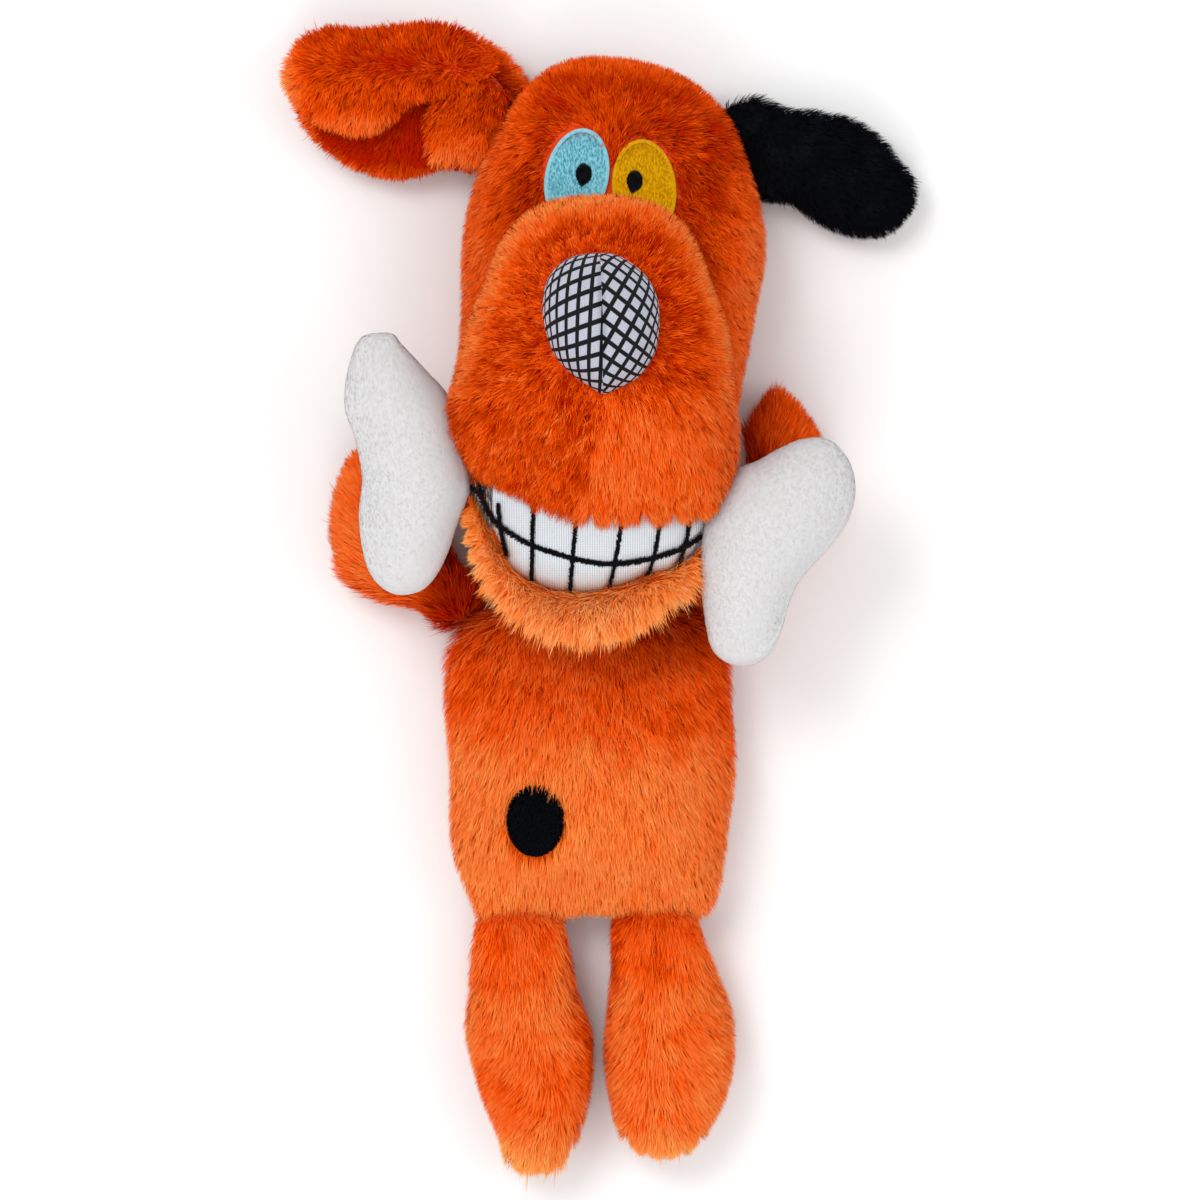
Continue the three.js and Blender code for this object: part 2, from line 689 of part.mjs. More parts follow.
addStuffed({
  names: ['head_back_panel', 'head_front_panel', 'head_fill'],
  form: head, whole: headWhole, depth: pileDepth, axis: 'z', level: bodySeam,
  cutters: [...headSockets, ...eyePockets], fillCutters: headSockets,
  look: orangeFur, fillLook: stuffing,
});
for (const { name, patch, pupil, thread } of eyes) {
  const patchColumn = ovalColumn(patch, head.seam, eyeWidth, eyeLength, eyeLean);
  addPiece(`${name}_patch`, cut(
    patchColumn.intersect(pillow(head, -eyeSink)),
    pillow(head, -eyeSink - embroideryThickness),
    muzzleGrown,
  ), thread);
  const pupilColumn = ovalColumn(pupil, head.seam, pupilWidth, pupilLength);
  addPiece(`${name}_pupil`, cut(
    pupilColumn.intersect(pillow(head, pupilThickness + clearance - eyeSink)),
    pillow(head, clearance - eyeSink),
  ), blackThread);
}

addStuffed({
  names: ['muzzle_left_panel', 'muzzle_right_panel', 'muzzle_fill'],
  form: muzzle, whole: cut(pillow(muzzle), headGrown), depth: pileDepth, axis: 'x',
  level: placeOn(muzzle, muzzlePeakPixel).x, cutters: [], fillCutters: [headGrown],
  look: orangeFur, fillLook: stuffing,
});
addStuffed({
  names: ['nose_left_panel', 'nose_right_panel', 'nose_fill'],
  form: nose, whole: cut(pillow(nose), muzzleGrown), depth: noseFabric, axis: 'x',
  level: placeOn(muzzle, muzzlePeakPixel).x, cutters: [], fillCutters: [muzzleGrown],
  look: gridCloth, fillLook: stuffing,
});

// Grin: the knitted panel, the stuffing behind it and the stitched lines on it
const jawInside = pillow(jaw, -knitThickness, innerSides, innerRings);
const toothBand = slab('z', jawSeam, jawSeam + overrun);
addPiece('teeth_panel', cut(jawWhole, jawInside).intersect(toothBand), knit);
addPiece('jaw_fill', cut(
  pillow(jaw, -knitThickness - clearance * 1.5, innerSides, innerRings),
  headGrown,
  muzzleGrown,
), stuffing);
const toothRow = toothRowPixels.map((pixel) => placeOn(jaw, pixel));
const rowCurve = new THREE.CatmullRomCurve3(toothRow.map((p) => new THREE.Vector3(p.x, p.y, 0)));
const toothWalls = [lineWall(rowCurve.getPoints(toothRow.length), toothLineWidth)];
for (const x of toothGapPixels) {
  const lean = (x - jaw.middle.x) * toothGapLeanShare;
  const top = placeOn(jaw, [x + lean, toothGapTopPixel]);
  const bottom = placeOn(jaw, [x - lean, jaw.middle.y + jaw.span.y]);
  toothWalls.push(lineWall([top, bottom], toothLineWidth));
}
const stitchShell = cut(pillow(jaw, clearance + stitchThickness), pillow(jaw, clearance));
addPiece('teeth_stitching', cut(
  stitchShell.intersect(join(...toothWalls)),
  headGrown,
  muzzleGrown,
  slab('z', -overrun, jawSeam + jawRise * 0.3),
), blackThread);

// Lower lip
const lip = {
  path: new THREE.CatmullRomCurve3(lipPathPixels.map((pixel) => at(placeOn(jaw, pixel), 0))),
  halfWidth: lipHalfWidth,
  halfHeight: lipHalfHeight,
  seam: lipSeam,
};
const stitchGrown = pillow(jaw, clearance * 2 + stitchThickness);
addPiece('lower_lip', cut(roll(lip), headGrown, muzzleGrown, stitchGrown, ...bonesGrown), paleOrangeFur);

// Limbs
const limbs = [
  { name: 'leg_left', form: legLeft, root: hipLeft, out: new THREE.Vector2(0, 1) },
  { name: 'leg_right', form: legRight, root: hipRight, out: new THREE.Vector2(0, 1) },
  { name: 'arm_left', form: armLeft, root: shoulderLeft, out: new THREE.Vector2(1, -0.6) },
  { name: 'arm_right', form: armRight, root: shoulderRight, out: new THREE.Vector2(-0.5, -1) },
];
for (const { name, form, root, out } of limbs) {
  const mouth = root.centre.clone();
  const reach = out.clone().setLength(root.radius * 0.4);
  mouth.x += reach.x;
  mouth.y += reach.y;
  addLimb({
    name, form, root, mouth, mouthRadius: root.radius * 0.8, depth: pileDepth,
    cutters: [torsoGrown, headGrown], look: orangeFur, fillLook: stuffing, skinWord: 'skin',
  });
}
const bones = [
  { name: 'bone_left', form: boneLeft, mouthPixel: boneLeftMouthPixel },
  { name: 'bone_right', form: boneRight, mouthPixel: boneRightMouthPixel },
];
for (const { name, form, mouthPixel } of bones) {
  addLimb({
    name, form, mouth: at(placeOn(muzzle, mouthPixel), boneSeam), mouthRadius: boneRise * 0.6,
    depth: velboaThickness, cutters: [headGrown, muzzleGrown], look: velboa, fillLook: stuffing,
    skinWord: 'cover',
  });
}

// Ears
const earLeftWhole = join(cut(pillow(earLeft), headGrown), rootSolid(earLeftRoot));
addPiece('ear_left_base_layer', earLeftWhole, orangeFur);
addPiece('ear_left_folded_flap', cut(
  pillow(flap),
  headGrown,
  pillow(earLeft, clearance * 1.5),
  grownRoot(earLeftRoot),
), orangeFur);
const earRightWhole = join(cut(pillow(earRight), headGrown), rootSolid(earRightRoot));
addPiece('ear_right_back_layer', cut(
  earRightWhole,
  slab('z', earSeam - clearance / 2, overrun),
), blackFur);
addPiece('ear_right_front_layer', cut(
  earRightWhole,
  slab('z', -overrun, earSeam + clearance / 2),
), blackFur);

// The toy, centred over its footprint
const toy = new THREE.Group();
for (const { name, solid, look: finish } of pieces) {
  const mesh = new THREE.Mesh(geometryOf(solid), new THREE.MeshStandardMaterial(finish));
  mesh.name = name;
  toy.add(mesh);
}
const footprint = new THREE.Box3().setFromObject(toy);
const middle = footprint.getCenter(new THREE.Vector3());
toy.position.set(-middle.x, -middle.y, 0);

export default toy;
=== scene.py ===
import json
import math

import bpy
import numpy as np
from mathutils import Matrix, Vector

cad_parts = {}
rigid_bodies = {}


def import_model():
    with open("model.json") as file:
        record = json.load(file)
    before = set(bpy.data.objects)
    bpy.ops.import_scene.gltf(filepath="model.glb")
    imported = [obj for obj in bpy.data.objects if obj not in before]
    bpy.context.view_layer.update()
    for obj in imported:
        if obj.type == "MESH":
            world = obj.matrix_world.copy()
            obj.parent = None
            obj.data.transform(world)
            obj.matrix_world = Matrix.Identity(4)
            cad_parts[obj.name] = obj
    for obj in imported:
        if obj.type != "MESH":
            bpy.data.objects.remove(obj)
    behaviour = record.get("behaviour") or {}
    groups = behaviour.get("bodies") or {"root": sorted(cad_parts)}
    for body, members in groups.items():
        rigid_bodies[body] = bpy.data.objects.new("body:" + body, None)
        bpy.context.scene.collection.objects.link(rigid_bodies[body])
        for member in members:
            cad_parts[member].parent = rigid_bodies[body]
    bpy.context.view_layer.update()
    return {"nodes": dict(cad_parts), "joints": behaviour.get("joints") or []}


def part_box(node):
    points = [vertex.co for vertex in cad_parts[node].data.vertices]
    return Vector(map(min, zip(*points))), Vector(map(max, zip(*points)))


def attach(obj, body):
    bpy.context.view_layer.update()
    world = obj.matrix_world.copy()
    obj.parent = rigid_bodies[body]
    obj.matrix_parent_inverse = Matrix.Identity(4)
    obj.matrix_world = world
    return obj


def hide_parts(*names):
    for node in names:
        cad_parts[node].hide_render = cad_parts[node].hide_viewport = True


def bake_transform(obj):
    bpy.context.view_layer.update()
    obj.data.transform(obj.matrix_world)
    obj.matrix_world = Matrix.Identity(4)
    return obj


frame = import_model()

MM = 0.001
FUR_SEED = 41

# Where the photograph shows each form's outline, in its pixels, read clockwise from the top
OUTLINE_PIXELS = {
    "torso": [
        (590, 585), (650, 592), (705, 612), (729, 650), (734, 699), (738, 764), (732, 821), (721, 895),
        (700, 922), (650, 930), (590, 918), (530, 930), (482, 926), (462, 890), (448, 842), (446, 770),
        (441, 690), (447, 640), (475, 610), (530, 592),
    ],
    "head": [
        (606, 51), (656, 59), (699, 80), (730, 112), (748, 155), (763, 205), (768, 250), (760, 300),
        (747, 370), (729, 450), (697, 520), (664, 570), (636, 600), (606, 610), (560, 605), (510, 575),
        (470, 520), (455, 450), (455, 380), (459, 310), (461, 235), (476, 169), (505, 110), (532, 75),
        (566, 55),
    ],
    "muzzle": [
        (600, 195), (640, 199), (672, 213), (695, 240), (713, 286), (730, 335), (735, 400), (735, 460),
        (722, 508), (690, 520), (650, 526), (600, 530), (547, 519), (505, 499), (473, 475), (453, 440),
        (450, 400), (463, 340), (484, 284), (506, 233), (546, 202),
    ],
    "jaw": [
        (592, 465), (650, 470), (690, 488), (705, 518), (699, 545), (676, 569), (645, 580), (607, 593),
        (570, 595), (535, 586), (514, 572), (504, 556), (496, 537), (486, 515), (474, 495), (471, 480),
        (486, 470), (530, 465),
    ],
    "nose": [
        (600, 257), (621, 261), (645, 279), (657, 302), (659, 330), (654, 358), (638, 381), (616, 393),
        (604, 398), (594, 393), (575, 380), (557, 362), (547, 338), (543, 309), (550, 280), (570, 262),
    ],
    "leg_left": [
        (517, 893), (552, 898), (572, 918), (575, 950), (578, 985), (590, 1022), (594, 1062), (590, 1104),
        (580, 1138), (560, 1172), (534, 1180), (508, 1170), (490, 1128), (474, 1085), (463, 1030),
        (466, 975), (464, 925), (482, 899),
    ],
    "leg_right": [
        (656, 893), (692, 899), (710, 922), (720, 965), (733, 1010), (737, 1055), (730, 1096),
        (714, 1130), (694, 1155), (664, 1164), (634, 1155), (617, 1134), (607, 1095), (603, 1050),
        (607, 1000), (608, 960), (602, 922), (622, 899),
    ],
    "arm_left": [
        (350, 447), (382, 446), (412, 464), (436, 505), (450, 544), (468, 572), (484, 590), (487, 612),
        (470, 636), (444, 638), (418, 618), (376, 606), (340, 584), (329, 556), (325, 526), (328, 497),
        (337, 468),
    ],
    "arm_right": [
        (783, 384), (797, 394), (812, 412), (827, 440), (832, 475), (822, 520), (800, 556), (772, 585),
        (752, 614), (734, 636), (708, 638), (688, 620), (686, 594), (704, 568), (726, 540), (740, 505),
        (745, 465), (743, 430), (757, 404), (770, 388),
    ],
    "ear_left": [
        (435, 18), (475, 27), (505, 42), (532, 68), (546, 94), (520, 130), (484, 168), (450, 166),
        (430, 171), (395, 177), (354, 169), (324, 151), (297, 129), (285, 103), (277, 68), (296, 35),
        (328, 21), (362, 23), (400, 20),
    ],
    "flap": [
        (435, 18), (476, 29), (506, 58), (490, 84), (450, 92), (422, 100), (406, 107), (393, 121),
        (366, 135), (338, 132), (310, 120), (287, 98), (278, 68), (299, 34), (330, 22), (362, 24),
        (400, 20),
    ],
    "ear_right": [
        (756, 88), (783, 99), (818, 104), (852, 112), (880, 129), (900, 153), (916, 174), (918, 198),
        (907, 217), (890, 232), (866, 236), (840, 231), (811, 217), (790, 202), (757, 196), (722, 170),
        (706, 125), (722, 96),
    ],
    "ear_left_lobe": [
        (440, 62), (472, 56), (506, 70), (520, 106), (504, 148), (478, 168), (452, 167), (433, 170),
        (423, 145), (422, 105),
    ],
    "bone_left": [
        (378, 332), (394, 333), (404, 344), (428, 370), (450, 396), (466, 440), (472, 486), (468, 505),
        (459, 527), (450, 554), (438, 578), (423, 593), (402, 598), (384, 592), (369, 575), (361, 548),
        (358, 515), (361, 479), (356, 449), (351, 431), (344, 410), (345, 380), (354, 347), (364, 335),
    ],
    "bone_right": [
        (757, 460), (780, 447), (799, 439), (819, 437), (834, 443), (846, 457), (853, 473), (855, 492),
        (852, 511), (843, 531), (828, 551), (810, 571), (798, 587), (790, 607), (784, 629), (777, 647),
        (766, 661), (751, 668), (736, 668), (721, 661), (711, 648), (706, 627), (702, 596), (700, 570),
        (702, 540), (708, 510), (720, 484), (738, 468),
    ],
}


def srgb(colour):
    """A display colour, in numbers up to 255, as the linear colour that a shader takes."""
    shares = [c / 255 for c in colour]
    return tuple(s / 12.92 if s <= 0.04045 else ((s + 0.055) / 1.055) ** 2.4 for s in shares) + (1.0,)


# Forms: the same stuffed shapes as the frame's, placed on one another from the squeaker's middle

def make_form(outline, width, length, seam, rise, drop=None, carrier=None, thinned=(), peak=None,
              fullness=0.85):
    """Sizes are millimetres. A form with no drop reaches just under the floor."""
    pixels = np.array(OUTLINE_PIXELS[outline], float)
    low, high = pixels.min(0), pixels.max(0)
    form = {
        "pixels": pixels, "middle": (low + high) / 2, "span": high - low,
        "size": np.array([width, length]) * MM, "seam": seam * MM, "rise": rise * MM,
        "drop": (seam + 0.5 if drop is None else drop) * MM, "thinned": thinned, "fullness": fullness,
    }
    bulb_low, bulb_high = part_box("squeaker")
    form["centre"] = np.array(((bulb_low + bulb_high) / 2)[:2])
    if carrier is not None:
        form["centre"] = place(carrier, form["middle"])
    form["heart"] = form["centre"] if peak is None else place(form, peak)
    return form


def place(form, pixel):
    """Where a pixel of the photograph, or each of several, lies on a form, in metres."""
    share = (np.asarray(pixel, float) - form["middle"]) / form["span"]
    return form["centre"] + share * form["size"] * (1, -1)


def smooth_curve(points, closed, per_span=16):
    """Points along a smooth curve through the given ones."""
    count = len(points)
    around = np.arange(count if closed else count - 1)[:, None] + (-1, 0, 1, 2)
    around = around % count if closed else np.clip(around, 0, count - 1)
    a, b, c, d = points[around].transpose(1, 0, 2)[:, :, None]
    t = np.arange(per_span)[:, None] / per_span
    curve = b + t * (c - a) / 2 + t**2 * (a - 2.5 * b + 2 * c - d / 2) + t**3 * (1.5 * (b - c) + (d - a) / 2)
    return np.vstack([*curve, points[:0] if closed else points[-1:]])


def spaced(curve, count, closed):
    """The curve again, as points at even steps of its length."""
    line = np.vstack([curve, curve[:1]]) if closed else curve
    along = np.concatenate([[0], np.cumsum(np.linalg.norm(np.diff(line, axis=0), axis=1))])
    steps = np.linspace(0, along[-1], count + 1)[:-1] if closed else np.linspace(0, along[-1], count)
    return np.stack([np.interp(steps, along, line[:, k]) for k in range(line.shape[1])], 1)


def outline_loop(form, grow, sides):
    """The form's outline, moved outwards by grow."""
    loop = spaced(smooth_curve(place(form, form["pixels"]), True), sides, True)
    along = unit(np.roll(loop, -2, 0) - np.roll(loop, 2, 0))
    return loop + np.stack([-along[:, 1], along[:, 0]], 1) * grow


def unit(vectors):
    return vectors / np.maximum(np.linalg.norm(vectors, axis=-1, keepdims=True), 1e-12)


def ease(share):
    share = np.clip(share, 0, 1)
    return share * share * (3 - 2 * share)


def fade(value, span):
    """0 up to the start of a span and 1 from its end on. A span may run backwards."""
    start, end = span
    return ease((value - start) / (end - start))


def thinning(form, xy):
    """How much of its height a form keeps at a point."""
    kept = np.ones(len(xy))
    for start, end, least in form["thinned"]:
        a, b = place(form, start), place(form, end)
        share = ((xy - a) @ (b - a)) / ((b - a) @ (b - a))
        kept *= least + (1 - least) * ease(share)
    return kept


def reach_at(form, points, grow=0.0):
    """How far out a point lies on its form: 0 at the heart and 1 at the outline."""
    loop = outline_loop(form, grow, 360) - form["heart"]
    angle = np.arctan2(loop[:, 1], loop[:, 0])
    order = np.argsort(angle)
    way = points[:, :2] - form["heart"]
    edge = np.interp(
        np.arctan2(way[:, 1], way[:, 0]), angle[order], np.linalg.norm(loop, axis=1)[order],
        period=2 * math.pi,
    )
    return np.linalg.norm(way, axis=1) / edge


def swell_at(form, xy, grow):
    reach = np.clip(reach_at(form, xy, grow), 0, 1)
    turn = np.arccos(reach ** (1 / form["fullness"]))
    return np.sin(turn) ** form["fullness"]


def front_height(form, xy, grow=0.0):
    return form["seam"] + swell_at(form, xy, grow) * (form["rise"] + grow) * thinning(form, xy)


def is_inside(form, points, grow=0.0):
    xy, z = points[:, :2], points[:, 2]
    over = z > form["seam"] - swell_at(form, xy, grow) * (form["drop"] + grow)
    return (reach_at(form, xy, grow) < 1) & (z < front_height(form, xy, grow)) & over


def pillow(form, grow, sides, rings):
    """A stuffed shape: two domes over one outline. Returns its points, quads and triangles."""
    loop = outline_loop(form, grow, sides)
    heart, fullness = form["heart"], form["fullness"]
    rows = []
    for row in range(1 - rings, rings):
        turn = row / rings * math.pi / 2
        xy = heart + (loop - heart) * math.cos(turn) ** fullness
        lift = abs(math.sin(turn)) ** fullness
        if turn > 0:
            z = form["seam"] + lift * (form["rise"] + grow) * thinning(form, xy)
        else:
            z = np.full(sides, form["seam"] - lift * (form["drop"] + grow))
        rows.append(np.column_stack([xy, z]))
    back = [*heart, form["seam"] - form["drop"] - grow]
    crown = [*heart, form["seam"] + (form["rise"] + grow) * thinning(form, heart[None])[0]]
    return tube([*rows, [back, crown]])


def tube(rows):
    """Rings of points that wind clockwise from above, closed by the two end points of the last row."""
    points, sides, rings = np.vstack(rows), len(rows[0]), len(rows) - 1
    side = np.arange(sides)
    following = (side + 1) % sides
    low = (np.arange(rings - 1) * sides)[:, None]
    quads = np.stack([low + side, low + sides + side, low + sides + following, low + following], -1)
    last = (rings - 1) * sides
    start = np.stack([np.full(sides, len(points) - 2), side, following], -1)
    end = np.stack([last + side, np.full(sides, len(points) - 1), last + following], -1)
    return points, quads.reshape(-1, 4), np.vstack([start, end])


torso = make_form(
    "torso", 78, 91, seam=12, rise=25, fullness=0.9,
    thinned=[((590, 600), (590, 770), 0.6), ((590, 930), (590, 820), 0.36)],
)
head = make_form("head", 83, 147.6, seam=12, rise=35, carrier=torso, fullness=0.9)
muzzle = make_form("muzzle", 75, 88, seam=46, rise=27, drop=26, carrier=head, peak=(600, 350), fullness=0.9)
jaw = make_form("jaw", 62, 34, seam=40, rise=15, drop=18, carrier=muzzle)
nose = make_form("nose", 30.5, 37, seam=66, rise=17, drop=10, carrier=muzzle, peak=(603, 322))
leg_left = make_form("leg_left", 34.5, 75.5, seam=12, rise=13.5, carrier=torso)
leg_right = make_form("leg_right", 35.5, 71.5, seam=12, rise=13.5, carrier=torso)
arm_left = make_form("arm_left", 43, 50, seam=10, rise=12, carrier=torso, peak=(392, 538))
arm_right = make_form("arm_right", 38.5, 67, seam=10, rise=12, carrier=torso, peak=(780, 506))
ear_left = make_form(
    "ear_left", 66.7, 42, seam=8, rise=5.5, carrier=head, thinned=[((505, 130), (440, 110), 0.9)],
)
flap = make_form(
    "flap", 60.2, 31, seam=17, rise=6, drop=4, carrier=ear_left, thinned=[((490, 75), (410, 60), 0.15)],
)
lobe = make_form("ear_left_lobe", 25.6, 28.5, seam=14, rise=5, drop=4, carrier=head)
ear_right = make_form(
    "ear_right", 56, 39, seam=8, rise=6, carrier=head, thinned=[((740, 145), (840, 165), 0.25)],
)
bone_left = make_form("bone_left", 34, 70, seam=42, rise=13, drop=13, carrier=muzzle)
bone_right = make_form("bone_right", 42, 61, seam=42, rise=13, drop=13, carrier=muzzle)


# Meshes

def mesh_object(name, points, quads=(), tris=(), uv=None, material=None, facing=None):
    """A mesh from arrays. uv gives each point's place on the OFBake map and facing its shading normal."""
    quads = np.asarray(quads, int).reshape(-1, 4)
    tris = np.asarray(tris, int).reshape(-1, 3)
    corners = np.concatenate([quads.ravel(), tris.ravel()]).astype(np.int32)
    starts = np.concatenate([np.arange(len(quads)) * 4, quads.size + np.arange(len(tris)) * 3])
    mesh = bpy.data.meshes.new(name)
    mesh.vertices.add(len(points))
    mesh.vertices.foreach_set("co", np.asarray(points, np.float32).ravel())
    mesh.loops.add(len(corners))
    mesh.loops.foreach_set("vertex_index", corners)
    mesh.polygons.add(len(starts))
    mesh.polygons.foreach_set("loop_start", starts.astype(np.int32))
    mesh.polygons.foreach_set("use_smooth", np.full(len(starts), True))
    mesh.update(calc_edges=True)
    if uv is not None:
        add_uv_layer(mesh, "OFBake", uv)
    if facing is not None:
        mesh.normals_split_custom_set_from_vertices(np.asarray(facing, np.float32))
    mesh.materials.append(material)
    return add_object(name, mesh)


def add_uv_layer(mesh, name, uv):
    corners = np.empty(len(mesh.loops), np.int32)
    mesh.loops.foreach_get("vertex_index", corners)
    layer = mesh.uv_layers.new(name=name)
    layer.data.foreach_set("uv", np.asarray(uv, np.float32)[corners].ravel())


def add_object(name, data):
    made = bpy.data.objects.new(name, data)
    bpy.context.scene.collection.objects.link(made)
    return made


def only_faces(points, quads, tris, keep):
    """The part of a mesh whose face middles pass the test keep, with unused points dropped."""
    quads = quads[keep(points[quads].mean(1))]
    tris = tris[keep(points[tris].mean(1))]
    used, corners = np.unique(np.concatenate([quads.ravel(), tris.ravel()]), return_inverse=True)
    return points[used], corners[: quads.size].reshape(-1, 4), corners[quads.size:].reshape(-1, 3)


def point_normals(points, quads, tris):
    """Each point's normal, the mesh in triangles and their areas."""
    triangles = np.vstack([quads[:, [0, 1, 2]], quads[:, [0, 2, 3]], tris])
    a, b, c = (points[triangles[:, k]] for k in range(3))
    face = np.cross(b - a, c - a)
    total = np.zeros_like(points)
    for k in range(3):
        np.add.at(total, triangles[:, k], face)
    return unit(total), triangles, np.linalg.norm(face, axis=1) / 2


def ripple(points, length, seed):
    """Smooth seeded variation from -1 to 1, whose waves are about length millimetres long."""
    rng = np.random.default_rng(seed)
    waves = 7
    ways = unit(rng.normal(size=(waves, 3))) * (2 * math.pi / (length * MM))
    ways *= rng.uniform(0.6, 1.6, (waves, 1))
    turns = rng.uniform(0, 2 * math.pi, waves)
    return np.sin(points @ ways.T + turns).sum(1) / math.sqrt(waves * 2)


def mottle(points, *waves):
    """The sum of several ripples, each given by its strength, its length and its seed."""
    return sum(strength * ripple(points, length, seed) for strength, length, seed in waves)


# Fur: tapered strands in tufts, rooted on the cloth
TRIES_PER_CELL = 4
CELLS_PER_AREA = 1.3
STEPS = np.array([0.0, 0.38, 0.74, 1.0])
STEP_OF_POINT = [0, 0, 1, 1, 2, 2, 3]
STRAND_POINTS = len(STEP_OF_POINT)
WIDTHS = np.array([1.0, 1.0, 0.7])
SPINE_PARTS = 6
TIP_GLOW = 0.4
ACROSS_STRAND = np.array([-1, 1, -1, 1, -1, 1, 0]) * 0.006
FLOOR_GAP = 0.3 * MM


def scatter(surface, spacing, rng):
    """Seeded points over a surface, one to a cell of the given spacing, with their normals."""
    points = surface[0]
    normals, triangles, areas = point_normals(*surface)
    count = int(areas.sum() / spacing**2 * TRIES_PER_CELL)
    chosen = np.searchsorted(np.cumsum(areas) / areas.sum(), rng.random(count))
    corners = triangles[np.minimum(chosen, len(areas) - 1)]
    u, v = rng.random((2, count))
    flip = u + v > 1
    u, v = np.where(flip, 1 - u, u), np.where(flip, 1 - v, v)
    shares = np.stack([1 - u - v, u, v], 1)[:, :, None]
    made = (points[corners] * shares).sum(1)
    first = np.sort(np.unique(np.floor(made / spacing).astype(int), axis=0, return_index=True)[1])
    return made[first], unit((normals[corners] * shares).sum(1))[first]


def strands(roots, normals, flow, length, lean, pull, width, tone, height, soft, rng):
    """Ribbons that leave their roots near the normal and bend over along flow, up to a height.

    Returns the points of each, their places on the OFBake map and their shading normals."""
    count = len(roots)
    towards = unit(flow - np.minimum((flow * normals).sum(1), 0)[:, None] * normals)
    lean_root, lean_tip = lean
    lean_middle = (lean_root + lean_tip) / 2
    steepness = np.cos(lean_middle) + np.sin(lean_middle) * (towards * normals).sum(1)
    length = np.minimum(length, height / np.maximum(steepness, 0.05))
    spine = [roots]
    place_now = roots
    for step, stretch in zip(STEPS, np.diff(STEPS)):
        for part in range(SPINE_PARTS):
            angle = lean_root + (lean_tip - lean_root) * (step + stretch * (part + 0.5) / SPINE_PARTS)
            way = np.cos(angle)[:, None] * normals + np.sin(angle)[:, None] * towards
            place_now = place_now + way * (length * stretch / SPINE_PARTS)[:, None]
        spine.append(place_now)
    spine = np.stack(spine, 1) + pull[:, None, :] * (STEPS**1.4)[None, :, None]
    ahead = unit(np.diff(spine, axis=1))
    ahead = np.concatenate([ahead, ahead[:, -1:]], 1)
    twist = rng.uniform(-0.7, 0.7, count)[:, None, None]
    across = unit(np.cross(ahead, normals[:, None, :]))
    side = unit(np.cos(twist) * across + np.sin(twist) * np.cross(across, ahead))
    reach = side[:, :3] * (width / 2)[:, None, None] * WIDTHS[None, :, None]
    edges = np.stack([spine[:, :3] - reach, spine[:, :3] + reach], 2).reshape(count, 6, 3)
    points = np.concatenate([edges, spine[:, 3:]], 1)
    along = STEPS[STEP_OF_POINT]
    facing = unit(normals[:, None, :] * soft + np.cross(side, ahead)[:, STEP_OF_POINT] * (1 - soft))
    facing = unit(facing + np.array([0, 0, TIP_GLOW]) * along[None, :, None])
    u = np.clip(tone, 0.02, 0.98)[:, None] + ACROSS_STRAND[None]
    return points, np.stack([u, np.broadcast_to(0.02 + 0.96 * along, u.shape)], -1), facing


def ribbon_faces(count):
    base = (np.arange(count) * STRAND_POINTS)[:, None]
    return np.concatenate([base + [0, 1, 3, 2], base + [2, 3, 5, 4]]), base + [4, 5, 6]


def fur(surface, density, length, comb, tone, keep=None, tuft=8, spread=1.2, width=0.22,
        lean=(0.9, 1.38), gather=0.25, wild=0.15, height=3.9, flatter=None, locks=None, streak=0.05,
        soft=0.65, seed=0):
    """Strands over a surface. density is strands per square millimetre; lengths are millimetres.

    flatter gives how far each place is pressed flat, from 0 to 1, and locks how far its tips are drawn.
    streak is how much the tone changes from tuft to tuft."""
    rng = np.random.default_rng(FUR_SEED + seed)
    centres, normals = scatter(surface, math.sqrt(tuft / density * CELLS_PER_AREA) * MM, rng)
    if keep is not None:
        kept = keep(centres)
        centres, normals = centres[kept], normals[kept]
    count = len(centres)

    def per_tuft(value):
        return value(centres) if callable(value) else np.full(count, value)

    flow = comb(centres)
    flow = unit(flow + wild * rng.normal(size=(count, 3)) * (1, 1, 0.5))
    tuft_length = per_tuft(length) * rng.uniform(0.8, 1.15, count)
    tuft_tone = tone(centres) + rng.normal(size=count) * streak
    tuft_height = per_tuft(height) * MM
    lean_root = lean[0] + rng.normal(size=count) * 0.12
    lean_tip = lean[1] + rng.normal(size=count) * 0.1
    if flatter is not None:
        lean_root += (1.4 - lean_root) * flatter(centres)
    drawn = np.zeros((count, 3)) if locks is None else locks(centres)

    def each(values):
        return np.repeat(values, tuft, axis=0)

    total = count * tuft
    angle, radius = rng.uniform(0, 2 * math.pi, total), np.sqrt(rng.random(total)) * spread * MM
    flat_a = unit(np.cross(each(normals), each(flow) + (0.01, 0.02, 0.03)))
    flat_b = np.cross(each(normals), flat_a)
    offset = flat_a * (np.cos(angle) * radius)[:, None] + flat_b * (np.sin(angle) * radius)[:, None]
    points, uv, facing = strands(
        each(centres) + offset, each(normals),
        unit(each(flow) + 0.14 * rng.normal(size=(total, 3))),
        each(tuft_length) * rng.uniform(0.72, 1.1, total) * MM,
        (each(lean_root) + rng.normal(size=total) * 0.1, each(lean_tip) + rng.normal(size=total) * 0.12),
        each(drawn) - offset * gather * rng.uniform(0.5, 1.2, (total, 1)),
        rng.uniform(0.7, 1.25, total) * width * MM,
        each(tuft_tone) + rng.normal(size=total) * 0.05,
        each(tuft_height) * rng.uniform(0.82, 1.1, total), soft, rng,
    )
    points[:, :, 2] = np.maximum(points[:, :, 2], FLOOR_GAP)
    return points, uv, facing


